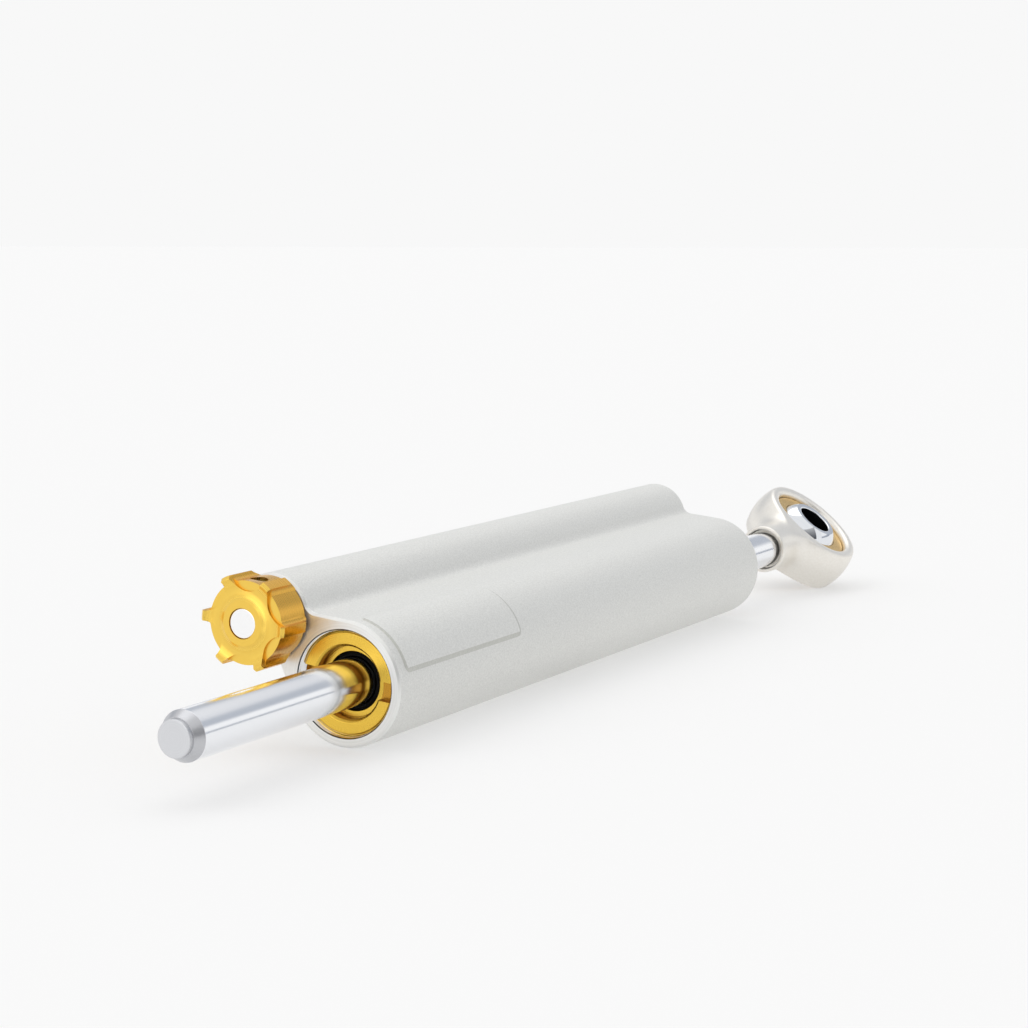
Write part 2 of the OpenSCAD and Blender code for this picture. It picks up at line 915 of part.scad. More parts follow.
// Section of the knob: a round core with lobes that run into it on small radii
module knob_section() {
    foot_y = lobe_width / 2 + lobe_foot;
    foot_x = sqrt((flute_r + lobe_foot) ^ 2 - foot_y ^ 2);
    circle(r = flute_r);
    for (i = [0 : lobes - 1])
        rotate(90 + 360 * i / lobes)
            difference() {
                polygon([
                    [0, 0], [foot_x, -foot_y + seated], [foot_x, -lobe_width / 2], [knob_r, -lobe_width / 2],
                    [knob_r, lobe_width / 2], [foot_x, lobe_width / 2], [foot_x, foot_y - seated]
                ]);
                for (side = [-1, 1])
                    translate([foot_x, side * foot_y])
                        circle(r = lobe_foot);
            }
}

// The knob as it is turned, from its back at 0 towards the front
module knob_blank() {
    edge = 0.5;
    land = 0.1;
    back_edge = 0.9;
    back_length = 1.5;
    collar_r = spindle_r + 0.8;
    dish_mid = (collar_r + knob_r - edge) / 2;
    dish_half = knob_r - edge - land - dish_mid;
    dish_r = (dish_half ^ 2 + dish_depth ^ 2) / (2 * dish_depth);
    rotate_extrude()
        difference() {
            polygon([
                [0, 0], [knob_r - back_edge, 0], [knob_r, back_length],
                [knob_r, knob_length - edge], [knob_r - edge, knob_length],
                [dish_mid, knob_length], [dish_mid, collar_front], [0, collar_front]
            ]);
            translate([dish_mid, knob_length - dish_depth + dish_r])
                circle(r = dish_r);
        }
}

// Places what is drawn along Z ahead of the knob's back, with X towards local Y
module at_knob() {
    at_side()
        translate([knob_x, 0, 0])
            rotate([90, 0, 0])
                rotate([0, -90, 0])
                    children();
}

module knob() {
    color(gold)
        leaned()
            difference() {
                at_knob()
                    difference() {
                        intersection() {
                            knob_blank();
                            linear_extrude(knob_length + overcut)
                                knob_section();
                        }
                        for (i = [0 : lobes - 1])
                            rotate(90 + 360 * (i + 0.5) / lobes)
                                translate([bite_place, 0, knob_length - bite_depth])
                                    cylinder(d = bite_d, h = bite_depth + overcut);
                        translate([0, 0, -overcut])
                            cylinder(r = spindle_r + seated, h = collar_front + 2 * overcut);
                    }
                grub_hole(grub_d / 2, knob_r + overcut);
                detent_place_x(knob_x - detent_hole_depth)
                    ring(0, detent_hole_r, 0, detent_hole_depth + overcut);
            }
}

// A round bar from the spindle outwards, along the grub screw's axis
module grub_hole(radius, reach) {
    at_side()
        translate([knob_x - grub_place, 0, 0])
            rotate([grub_angle - 90, 0, 0])
                cylinder(r = radius, h = reach);
}

module detent_place_x(x) {
    at_side()
        rotate([detent_angle, 0, 0])
            translate([x, detent_place, 0])
                children();
}

module knob_grub_screw() {
    socket = 1.5;
    socket_depth = 1.4;
    screw_sink = 0.6;
    screw_end = flute_r - screw_sink;
    color(black)
        leaned()
            at_side()
                translate([knob_x - grub_place, 0, 0])
                    rotate([grub_angle - 90, 0, 0])
                        difference() {
                            translate([0, 0, spindle_r + seated])
                                cylinder(d = grub_d - 2 * seated, h = screw_end - spindle_r - seated);
                            translate([0, 0, screw_end - socket_depth])
                                cylinder(d = socket / cos(30), h = socket_depth + overcut, $fn = 6);
                        }
}

module adjuster_spindle() {
    edge = 0.2;
    groove_r = spindle_r - small_o_ring - seated;
    collar_start = front_wall + running;
    color(bright)
        leaned()
            from_end(-1)
                at_side()
                    turned([
                        [0, spindle_front],
                        [spindle_r - edge, spindle_front],
                        [spindle_r, spindle_front + edge],
                        [spindle_r, spindle_groove_start],
                        [groove_r, spindle_groove_start],
                        [groove_r, spindle_groove_start + small_groove],
                        [spindle_r, spindle_groove_start + small_groove],
                        [spindle_r, collar_start],
                        [sleeve_r - running, collar_start],
                        [sleeve_r - running, collar_start + spindle_collar],
                        [spindle_r, collar_start + spindle_collar],
                        [spindle_r, spindle_end],
                        [tail_hole_r, spindle_end],
                        [tail_hole_r, front_wall + spindle_collar],
                        [0, front_wall + spindle_collar]
                    ]);
}

module spindle_o_ring() {
    color(black)
        leaned()
            from_end(-1)
                at_side()
                    o_ring(
                        spindle_r - small_o_ring / 2, small_o_ring,
                        spindle_groove_start + small_groove / 2
                    );
}

module adjuster_body() {
    groove_r = adjuster_r - small_o_ring - seated;
    color(brass)
        leaned()
            difference() {
                from_end(-1)
                    at_side()
                        turned([
                            [spindle_hole_r, 0],
                            [flange_r, 0],
                            [flange_r, flange_thickness],
                            [adjuster_r, flange_thickness],
                            [adjuster_r, adjuster_groove_start],
                            [groove_r, adjuster_groove_start],
                            [groove_r, adjuster_groove_start + small_groove],
                            [adjuster_r, adjuster_groove_start + small_groove],
                            [adjuster_r, adjuster_length],
                            [sleeve_r, adjuster_length],
                            [sleeve_r, front_wall],
                            [spindle_hole_r, front_wall]
                        ]);
                for (i = [0 : clicks - 1])
                    at_side()
                        rotate([detent_angle + 360 * i / clicks, 0, 0])
                            translate([dimple_x, detent_place, 0])
                                sphere(r = detent_hole_r);
            }
}

module adjuster_o_ring() {
    color(black)
        leaned()
            from_end(-1)
                at_side()
                    o_ring(
                        adjuster_r - small_o_ring / 2, small_o_ring,
                        adjuster_groove_start + small_groove / 2
                    );
}

// A hexagonal bar along X
module hexagonal_bar(across, from, to) {
    translate([from, 0, 0])
        rotate([0, 90, 0])
            cylinder(d = across / cos(30), h = to - from, $fn = 6);
}

module needle_guide() {
    color(brass)
        leaned()
            from_end(-1)
                at_side()
                    difference() {
                        ring(0, sleeve_r - seated, guide_start, adjuster_length);
                        hexagonal_bar(
                            hexagon + 2 * running,
                            guide_start - overcut, adjuster_length + overcut
                        );
                    }
}

module needle() {
    tail_edge = 0.3;
    tail_start = front_wall + spindle_collar + needle_feed + hexagon_spare;
    color(steel)
        leaned()
            from_end(-1)
                at_side() {
                    turned([
                        [0, tail_start],
                        [tail_r - tail_edge, tail_start],
                        [tail_r, tail_start + tail_edge],
                        [tail_r, cone_start],
                        [needle_tip_r, needle_end],
                        [0, needle_end]
                    ]);
                    hexagonal_bar(hexagon, hexagon_start, hexagon_end);
                }
}

module valve_seat() {
    outer = side_bore_r - seated;
    rim = 1;
    color(brass)
        leaned()
            from_end(-1)
                at_side()
                    turned([
                        [outer - rim, seat_depth],
                        [outer, seat_depth],
                        [outer, seat_end],
                        [orifice_r, seat_end],
                        [orifice_r, throat]
                    ]);
}

module detent_ball() {
    color(steel)
        leaned()
            detent_place_x(detent_x)
                sphere(r = detent_r);
}

module detent_spring() {
    from = knob_x - detent_hole_depth + seated;
    to = detent_x - detent_r - seated;
    color(steel)
        leaned()
            detent_place_x(from)
                coil(detent_r - detent_wire, to - from, detent_turns, detent_wire);
}

module compensator_cup() {
    groove_r = compensator_r - small_o_ring - seated;
    color(brass)
        leaned()
            from_end(-1)
                at_side()
                    turned([
                        [0, compensator_place],
                        [compensator_r, compensator_place],
                        [compensator_r, compensator_groove],
                        [groove_r, compensator_groove],
                        [groove_r, compensator_groove + small_groove],
                        [compensator_r, compensator_groove + small_groove],
                        [compensator_r, compensator_end],
                        [spring_hole_r, compensator_end],
                        [spring_hole_r, compensator_end - pocket_depth],
                        [0, compensator_end - pocket_depth]
                    ]);
}

module compensator_o_ring() {
    color(black)
        leaned()
            from_end(-1)
                at_side()
                    o_ring(
                        compensator_r - small_o_ring / 2, small_o_ring,
                        compensator_groove + small_groove / 2
                    );
}

module compensator_spring() {
    from = compensator_end - pocket_depth + running;
    color(steel)
        leaned()
            from_end(-1)
                at_side()
                    translate([from, 0, 0])
                        coil(spring_d / 2, bore_end - running - from, spring_turns, spring_wire);
}

housing();
lock_ring(-1, slot_angle);  // front_lock_ring
seal_head(-1);  // front_seal_head
wiper(-1);  // front_wiper
rod_seal(-1);  // front_rod_seal
bush(-1);  // front_bush
head_o_ring_seal(-1);  // front_head_o_ring
lock_ring(1, slot_angle);  // rear_lock_ring
seal_head(1);  // rear_seal_head
wiper(1);  // rear_wiper
rod_seal(1);  // rear_rod_seal
bush(1);  // rear_bush
head_o_ring_seal(1);  // rear_head_o_ring
piston();
piston_ring();
piston_o_ring_seal();
piston_clips();
rod();
rod_end();
rod_end_race();
rod_end_ball();
knob();
knob_grub_screw();
adjuster_spindle();
spindle_o_ring();
adjuster_body();
adjuster_o_ring();
needle_guide();
needle();
valve_seat();
detent_ball();
detent_spring();
compensator_cup();
compensator_o_ring();
compensator_spring();
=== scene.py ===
import math

import bmesh
import bpy
from mathutils import Matrix, Vector


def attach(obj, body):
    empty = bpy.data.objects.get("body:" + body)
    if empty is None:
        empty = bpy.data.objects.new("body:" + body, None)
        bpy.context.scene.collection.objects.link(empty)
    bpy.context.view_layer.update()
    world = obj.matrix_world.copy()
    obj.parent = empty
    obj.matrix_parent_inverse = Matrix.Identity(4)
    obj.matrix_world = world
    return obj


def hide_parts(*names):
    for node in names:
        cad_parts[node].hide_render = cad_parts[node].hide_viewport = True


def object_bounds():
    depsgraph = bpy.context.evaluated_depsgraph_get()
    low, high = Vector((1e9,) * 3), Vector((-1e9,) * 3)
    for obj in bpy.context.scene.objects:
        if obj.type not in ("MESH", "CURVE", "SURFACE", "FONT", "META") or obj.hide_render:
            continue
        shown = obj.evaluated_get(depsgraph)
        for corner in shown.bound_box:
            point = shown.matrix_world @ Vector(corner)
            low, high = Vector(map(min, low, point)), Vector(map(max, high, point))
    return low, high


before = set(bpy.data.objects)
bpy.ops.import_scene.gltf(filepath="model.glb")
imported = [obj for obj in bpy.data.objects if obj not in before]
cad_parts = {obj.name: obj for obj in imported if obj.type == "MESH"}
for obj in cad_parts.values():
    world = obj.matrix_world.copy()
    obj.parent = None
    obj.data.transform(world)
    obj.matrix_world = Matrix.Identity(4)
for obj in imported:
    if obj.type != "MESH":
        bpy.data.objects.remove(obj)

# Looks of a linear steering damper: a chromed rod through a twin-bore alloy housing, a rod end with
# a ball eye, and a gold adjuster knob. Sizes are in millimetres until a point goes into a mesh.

CAD_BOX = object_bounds()
MM = 0.001

# Housing: half its length, its two tubes and its bores
HALF = 76.2
ROD_TUBE_R = 10.6
SIDE_TUBE_R = 7.15
SPACING = 17.2
FLAT_FROM = math.radians(59.5)
HOLLOW_R = 2.2
FRONT_CHAMFER = 0.4
REAR_ROUNDING = 1.0
HEAD_BORE_R = 8.8
HEAD_DEPTH = 34.2
CYLINDER_R = 7.5
MOUTH_CHAMFER = 0.3
MOUTH_EDGE = 0.17
THREAD_PITCH = 0.5
THREAD_DEPTH = 0.22
THREAD_END = 3.4
THREAD_FADE = 0.1
FLANGE_BORE_R = 5.75
FLANGE_DEPTH = 2.0
SIDE_BORE_R = 4.5
SEAT_END = 60.0
COMPENSATOR_R = 4.2
SIDE_BORE_END = 144.4

# Raised panel on the rod tube
PANEL_FROM = 2.5
PANEL_LENGTH = 39.5
PANEL_MIDDLE = math.radians(96)
PANEL_HALF_SPAN = math.radians(35)
PANEL_HEIGHT = 0.3
PANEL_SLOPE = 0.7
PANEL_END_SLOPE = 0.3
PANEL_CORNER = 1.3
PANEL_SHADE = 0.6

# Rod and its tip
ROD_R = 4.0
ROD_REACH = 43.9
ROD_FRONT = -HALF - ROD_REACH
TIP_CONE = 1.6
TIP_BOSS = 0.8
TIP_BOSS_R = 2.95
CONE_STEP = 0.15
PISTON_MIDDLE = -7.0
PISTON_HALF = 7

# Rod end: the eye, its shank, and what the shank is hollowed by
EYE_X = 128.0
EYE_R = 13.2
EYE_HALF = 5.5
RACE_R = 9.75
SHANK_R = 5.35
SHANK_LENGTH = 23.8
SHANK_BEHIND = 28
ROD_IN_SHANK = 2
SHANK_MOUTH_R = 4.6
SHANK_MOUTH_REACH = 21.8
STUD_HOLE_R = 3.3
STUD_HOLE_REACH = 12.8

# The damper lies turned about its rod, and the eye a little further
LIE = math.radians(36.3)
EYE_TURN = math.radians(3.7)
ROD_AXIS = Matrix.Scale(MM, 4) @ Matrix.Rotation(LIE, 4, "X")
SIDE_AXIS = ROD_AXIS @ Matrix.Translation((0, SPACING, 0))
EYE_PLACE = ROD_AXIS @ Matrix.Rotation(EYE_TURN, 4, "X") @ Matrix.Translation((EYE_X, 0, 0))
EYE_AXIS = EYE_PLACE @ Matrix.Rotation(math.radians(-90), 4, "Y")
ROD_CENTRE = (0, 0, 0)
SIDE_CENTRE = tuple(SIDE_AXIS.to_translation())


# Materials

def linear(code):
    """An sRGB hex colour as linear RGBA."""
    parts = [int(code[i:i + 2], 16) / 255 for i in (1, 3, 5)]
    return [c / 12.92 if c <= 0.04045 else ((c + 0.055) / 1.055) ** 2.4 for c in parts] + [1.0]


def add(tree, kind, links=None, **settings):
    """Adds a node with its settings; links gives its inputs, as values or as sockets to join."""
    made = tree.nodes.new(kind)
    for key, value in settings.items():
        setattr(made, key, value)
    for key, value in (links or {}).items():
        if isinstance(value, bpy.types.NodeSocket):
            tree.links.new(value, made.inputs[key])
        else:
            made.inputs[key].default_value = value
    return made


def started(name, code, roughness, metallic=1.0):
    """A new material with its shader, and the Object coordinates that its patterns read."""
    material = bpy.data.materials.new(name)
    material.use_nodes = True
    tree = material.node_tree
    tree.nodes.clear()
    shader = add(tree, "ShaderNodeBsdfPrincipled", {
        "Base Color": linear(code), "Roughness": roughness, "Metallic": metallic,
    })
    add(tree, "ShaderNodeOutputMaterial", {"Surface": shader.outputs["BSDF"]})
    place = add(tree, "ShaderNodeTexCoord").outputs["Object"]
    return material, tree, shader, place


def varied(tree, shader, field, low, high, rough_low, rough_high):
    """Lets one grey field move the colour and the roughness together."""
    shade = add(tree, "ShaderNodeMix", {
        0: field, 6: linear(low), 7: linear(high),
    }, data_type="RGBA")
    rough = add(tree, "ShaderNodeMapRange", {
        "Value": field, "To Min": rough_low, "To Max": rough_high,
    })
    tree.links.new(shade.outputs[2], shader.inputs["Base Color"])
    tree.links.new(rough.outputs["Result"], shader.inputs["Roughness"])


def dented(tree, shader, field, strength, depth_mm):
    """Turns a grey field into bump of a real depth."""
    bump = add(tree, "ShaderNodeBump", {
        "Height": field, "Strength": strength, "Distance": depth_mm * MM,
    })
    tree.links.new(bump.outputs["Normal"], shader.inputs["Normal"])


def lathe_lines(tree, place, centre, line_mm, on_faces=True):
    """Fine rings round an axis along X: along the piece on its sides and, if wanted, outwards on
    its faces."""
    away = add(tree, "ShaderNodeVectorMath", {0: place, 1: centre}, operation="SUBTRACT").outputs[0]
    line = add(tree, "ShaderNodeSeparateXYZ", {0: away}).outputs["X"]
    if on_faces:
        flat = add(tree, "ShaderNodeVectorMath", {
            0: away, 1: (0, 1, 1),
        }, operation="MULTIPLY").outputs[0]
        outwards = add(tree, "ShaderNodeVectorMath", {0: flat}, operation="LENGTH").outputs["Value"]
        line = add(tree, "ShaderNodeMath", {0: line, 1: outwards}, operation="ADD").outputs[0]
    return add(tree, "ShaderNodeTexNoise", {
        "W": line, "Scale": 1 / (line_mm * MM), "Detail": 2.0,
    }, noise_dimensions="1D").outputs["Fac"]


def grains(tree, place, size_mm, detail=2.0):
    """Even grains of a real size."""
    return add(tree, "ShaderNodeTexNoise", {
        "Vector": place, "Scale": 1 / (size_mm * MM), "Detail": detail,
    }).outputs["Fac"]


def blasted_aluminium():
    # Bead-blasted, clear-anodised aluminium: a pale matt grey that sparkles a little from grain to
    # grain. Real bead marks are about 0.08 mm; they are drawn at 0.3 mm so that they show.
    material, tree, shader, place = started("blasted_aluminium", "#e7e7e4", 0.66)
    field = grains(tree, place, 0.3)
    varied(tree, shader, field, "#d9d9d6", "#f4f4f1", 0.72, 0.6)
    dented(tree, shader, field, 0.3, 0.03)
    return material


def painted_flank_shade():
    # The same blasted aluminium painted darker on the panel's flanks and on a strip behind its rear
    # end: painted shade, a duller, darker grey that draws a thin line round the panel.
    material, tree, shader, place = started("blasted_flank_painted_shade", "#cfcfca", 0.62)
    field = grains(tree, place, 0.3)
    varied(tree, shader, field, "#c4c4bf", "#dadad5", 0.68, 0.56)
    dented(tree, shader, field, 0.3, 0.03)
    return material


def faced_aluminium():
    # Faced and clear-anodised aluminium: a bright satin with faint rings from the cutter and a fine
    # speckle.
    material, tree, shader, place = started("faced_aluminium", "#ececea", 0.4, 0.8)
    field = lathe_lines(tree, place, ROD_CENTRE, 0.25)
    varied(tree, shader, field, "#e4e4e1", "#f4f4f2", 0.45, 0.36)
    dented(tree, shader, grains(tree, place, 0.3), 0.25, 0.02)
    return material


def gold_aluminium(name, low, high, centre=ROD_CENTRE, on_faces=True):
    # Turned, gold-anodised aluminium: a bright satin yellow with fine lathe rings that stretch its
    # highlights.
    material, tree, shader, place = started(name, low, 0.28)
    field = lathe_lines(tree, place, centre, 0.16, on_faces)
    varied(tree, shader, field, low, high, 0.34, 0.22)
    dented(tree, shader, field, 0.18, 0.012)
    return material


def nitrile_rubber():
    # Moulded nitrile rubber: a dull deep black with hardly any sheen and a fine mould grain.
    material, tree, shader, place = started("black_nitrile_rubber", "#0c0c0d", 0.8, 0.0)
    shader.inputs["Specular IOR Level"].default_value = 0.2
    field = grains(tree, place, 0.2)
    varied(tree, shader, field, "#09090a", "#121213", 0.86, 0.74)
    dented(tree, shader, field, 0.2, 0.02)
    return material


def hard_chrome():
    # Ground and hard-chromed steel: a cool mirror, a little blurred by the grinding rings round the
    # rod.
    material, tree, shader, place = started("hard_chrome", "#f2f3f6", 0.15)
    field = lathe_lines(tree, place, ROD_CENTRE, 0.12)
    varied(tree, shader, field, "#edeff3", "#f6f7f9", 0.18, 0.12)
    dented(tree, shader, field, 0.05, 0.003)
    return material


def satin_nickel():
    # Forged steel with satin nickel: a warm white metal with soft broad highlights.
    material, tree, shader, place = started("satin_nickel", "#f2efe8", 0.38)
    field = grains(tree, place, 0.5, 3.0)
    varied(tree, shader, field, "#ebe7df", "#f8f5ef", 0.44, 0.32)
    dented(tree, shader, field, 0.12, 0.02)
    return material


def plain_metal(name, low, high, rough_low, rough_high, line_mm=0.15, centre=ROD_CENTRE):
    # Turned metal of one colour, with lathe rings in its shade and its gloss.
    material, tree, shader, place = started(name, low, (rough_low + rough_high) / 2)
    field = lathe_lines(tree, place, centre, line_mm)
    varied(tree, shader, field, low, high, rough_high, rough_low)
    dented(tree, shader, field, 0.1, 0.008)
    return material


def filled_fluoropolymer():
    # Bronze-filled fluoropolymer: a waxy brown plastic with a fine fleck.
    material, tree, shader, place = started("filled_fluoropolymer", "#5b4634", 0.42, 0.0)
    field = grains(tree, place, 0.25)
    varied(tree, shader, field, "#4c3a2b", "#6b543f", 0.48, 0.36)
    dented(tree, shader, field, 0.1, 0.01)
    return material


FACED = faced_aluminium()
# Painted shade for the panel's flanks and behind its rear end
FLANK_PAINTED_SHADE = painted_flank_shade()
# A painted shade at the edge of the bore's mouth: a thin dark line round it
MOUTH_PAINTED_SHADE = plain_metal("mouth_edge_painted_shade", "#4a4b4e", "#5f6063", 0.14, 0.22)
# A polished bore and thread: a clear white glint beside the lock ring
POLISHED = plain_metal("polished_aluminium", "#f4f4f2", "#ffffff", 0.14, 0.22)
FINISHES = {
    "blasted_aluminium": blasted_aluminium(),
    "gold_anodised": gold_aluminium("gold_anodised_aluminium", "#e8bc46", "#f6cf5a"),
    "gold_knob": gold_aluminium("gold_anodised_knob", "#efc556", "#f8d366", SIDE_CENTRE, False),
    "black_rubber": nitrile_rubber(),
    # Leaded bronze: a warm tan with a soft gloss
    "bronze": plain_metal("leaded_bronze", "#d8b066", "#eac887", 0.22, 0.34),
    # Aluminium as it leaves the lathe: a clean light grey
    "piston_aluminium": plain_metal("turned_aluminium", "#c8c9cb", "#dcdddf", 0.24, 0.36),
    "ring_plastic": filled_fluoropolymer(),
    # Drawn spring steel: a darker, smooth grey
    "spring_steel": plain_metal("drawn_spring_steel", "#9fa1a5", "#bcbec2", 0.22, 0.34),
    "hard_chrome": hard_chrome(),
    "nickel_steel": satin_nickel(),
    # Polished chrome on the ball: an almost perfect mirror
    "ball_chrome": plain_metal("polished_chrome", "#e2e5ea", "#eceef1", 0.03, 0.07, 0.4),
    # Polished steel in the knob's middle: a bright white disc
    "spindle_steel": plain_metal(
        "polished_steel", "#f8f8f7", "#ffffff", 0.16, 0.24, 0.2, SIDE_CENTRE,
    ),
    # Ground steel on the rod's flat tip: a matt light grey
    "ground_steel": plain_metal("ground_steel", "#d0d1d4", "#dedfe2", 0.4, 0.52, 0.12),
    # Turned steel on the tip's cone: a darker grey with a soft gloss
    "turned_steel": plain_metal("turned_steel", "#bcbdc1", "#cdced1", 0.28, 0.38, 0.1),
    # The same gold painted darker where it lies deep, on a ring's walls and its slots' floors, and
    # on the knob's side: a browner yellow that is painted shade
    "gold_wall_painted_shade": gold_aluminium("gold_anodised_wall_painted_shade", "#7d5119", "#936520"),
    "gold_floor_painted_shade": gold_aluminium("gold_anodised_floor_painted_shade", "#c98f33", "#d9a340"),
    "gold_side_painted_shade": gold_aluminium("gold_anodised_side_painted_shade", "#dfa843", "#eebc55", SIDE_CENTRE, False),
    # Painted shade in the ball's bore: a near black with a dull gloss
    "black_steel": plain_metal("ball_bore_painted_shade", "#242528", "#34363a", 0.3, 0.42),
}


# Meshes

SHARP_FROM = math.radians(36)
ROUND_STEPS = 144
MERGE_MM = 0.001
LIFT_REACH = 0.02
FLAT_WITHIN = math.radians(0.5)
BEVEL_FROM = math.radians(28)
BEVEL_STEPS = 3


def shown(name, data):
    """An object in the scene for a mesh, a lamp or a camera."""
    piece = bpy.data.objects.new(name, data)
    bpy.context.scene.collection.objects.link(piece)
    return piece


def kept(name, bm, materials):
    """A mesh object of the faces, turned outwards and shaded smooth except at sharp edges."""
    bmesh.ops.recalc_face_normals(bm, faces=bm.faces[:])
    for face in bm.faces:
        face.smooth = True
    for edge in bm.edges:
        if len(edge.link_faces) == 2 and edge.calc_face_angle(0) > SHARP_FROM:
            edge.smooth = False
    mesh = bpy.data.meshes.new(name)
    bm.to_mesh(mesh)
    bm.free()
    for material in materials:
        mesh.materials.append(material)
    return shown(name, mesh)


def settled(name, draft):
    """The mesh that a draft's modifiers make. The draft itself goes."""
    graph = bpy.context.evaluated_depsgraph_get()
    mesh = bpy.data.meshes.new_from_object(draft.evaluated_get(graph))
    bpy.data.objects.remove(draft)
    mesh.name = name
    return mesh


def dress(piece, body, slot, *nodes):
    """Lets a piece ride on its body and stand for its solids."""
    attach(piece, body)
    if nodes:
        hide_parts(*nodes)


def eased(points, closed):
    """A profile of (place, radius, easing) corners, each eased corner drawn as a small arc."""
    steps = 4
    support = 1.2
    most = 0.4
    shaped = []
    for i, (x, r, ease) in enumerate(points):
        corner = Vector((x, r))
        if not ease or (not closed and i in (0, len(points) - 1)):
            shaped.append(corner)
            continue
        back = Vector(points[i - 1][:2]) - corner
        ahead = Vector(points[(i + 1) % len(points)][:2]) - corner
        half_angle = back.angle(ahead) / 2
        reach = min(ease / math.tan(half_angle), most * back.length, most * ahead.length)
        back.normalize()
        ahead.normalize()
        radius = reach * math.tan(half_angle)
        centre = corner + (back + ahead).normalized() * radius / math.sin(half_angle)
        spoke = corner + back * reach - centre
        sweep = math.pi - 2 * half_angle
        way = 1 if back.cross(ahead) < 0 else -1
        shaped.append(corner + back * reach * support)
        for step in range(steps + 1):
            turn = way * sweep * step / steps
            shaped.append(centre + Vector((
                spoke.x * math.cos(turn) - spoke.y * math.sin(turn),
                spoke.x * math.sin(turn) + spoke.y * math.cos(turn),
            )))
        shaped.append(corner + ahead * reach * support)
    return shaped


def joined(bm, first, second, index=0):
    """Faces between two rings of points, either of which may be a single point."""
    count = max(len(first), len(second))
    for i in range(count):
        j = (i + 1) % count
        corners = [
            first[i % len(first)], first[j % len(first)],
            second[j % len(second)], second[i % len(second)],
        ]
        face = bm.faces.new(list(dict.fromkeys(corners)))
        face.material_index = index


def ring_of(bm, axis, x, r, count):
    """A ring of points round an axis, or one point where it closes."""
    if r < 1e-6:
        return [bm.verts.new(axis @ Vector((x, 0, 0)))]
    turns = [2 * math.pi * i / count for i in range(count)]
    return [bm.verts.new(axis @ Vector((x, r * math.cos(a), r * math.sin(a)))) for a in turns]


def turned(name, points, axis, materials, closed=False, pick=None):
    """A turned piece: (place, radius, easing) corners swept about an axis. With several finishes,
    pick gives the one to use at a place and radius."""
    bm = bmesh.new()
    shaped = eased(points, closed)
    rings = [ring_of(bm, axis, p.x, p.y, ROUND_STEPS) for p in shaped]
    if closed:
        rings.append(rings[0])
    for i, (first, following) in enumerate(zip(rings, rings[1:])):
        middle = (shaped[i] + shaped[(i + 1) % len(shaped)]) / 2
        joined(bm, first, following, pick(middle.x, middle.y) if pick else 0)
    return kept(name, bm, materials)


def eased_copy(name, node, width_mm, materials, pick, lift=None):
    """A merged copy of a solid with its sharp edges eased, for edges that catch the light. From the
    middle of a face and its normal, pick gives the finish to use. A lift moves what lies at one
    place along X."""
    bm = bmesh.new()
    bm.from_mesh(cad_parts[node].data)
    bmesh.ops.remove_doubles(bm, verts=bm.verts[:], dist=MERGE_MM * MM)
    if lift:
        place, by = lift
        for vert in bm.verts:
            if abs(vert.co.x / MM - place) < LIFT_REACH:
                vert.co.x += by * MM
    bmesh.ops.dissolve_limit(bm, angle_limit=FLAT_WITHIN, verts=bm.verts[:], edges=bm.edges[:])
    for face in bm.faces:
        face.smooth = True
    draft_mesh = bpy.data.meshes.new(name + "_draft")
    bm.to_mesh(draft_mesh)
    bm.free()
    draft = shown(name + "_draft", draft_mesh)
    bevel = draft.modifiers.new("eased_edges", "BEVEL")
    bevel.width = width_mm * MM
    bevel.segments = BEVEL_STEPS
    bevel.limit_method = "ANGLE"
    bevel.angle_limit = BEVEL_FROM
    bevel.use_clamp_overlap = True
    weigh = draft.modifiers.new("flat_faces", "WEIGHTED_NORMAL")
    weigh.keep_sharp = True
    mesh = settled(name, draft)
    mesh.materials.clear()
    for material in materials:
        mesh.materials.append(material)
    for face in mesh.polygons:
        face.material_index = pick(face.center / MM, face.normal)
    return shown(name, mesh)


def grown(name, group, values, axis):
    """A piece from a node group: its inputs are set by name, and its result is kept as a mesh."""
    draft = shown(name + "_draft", bpy.data.meshes.new(name + "_draft"))
    grower = draft.modifiers.new("grower", "NODES")
    grower.node_group = group
    for item in group.interface.items_tree:
        if item.item_type == "SOCKET" and item.name in values:
            grower[item.identifier] = values[item.name]
    mesh = settled(name, draft)
    mesh.transform(axis)
    return shown(name, mesh)


def new_group(name, sizes):
    """A node group with named sizes and a finish as inputs, and a mesh as its output."""
    group = bpy.data.node_groups.new(name, "GeometryNodeTree")
    for label in sizes:
        group.interface.new_socket(label, in_out="INPUT", socket_type="NodeSocketFloat")
    group.interface.new_socket("Finish", in_out="INPUT", socket_type="NodeSocketMaterial")
    group.interface.new_socket("Mesh", in_out="OUTPUT", socket_type="NodeSocketGeometry")
    return group, add(group, "NodeGroupInput").outputs


def finished(group, mesh, material):
    """Ends a group: smooth, real faces with their material."""
    smooth = add(group, "GeometryNodeSetShadeSmooth", {"Geometry": mesh}).outputs[0]
    real = add(group, "GeometryNodeRealizeInstances", {"Geometry": smooth}).outputs[0]
    dressed = add(group, "GeometryNodeSetMaterial", {
        "Geometry": real, "Material": material,
    }).outputs[0]
    add(group, "NodeGroupOutput", {"Mesh": dressed})


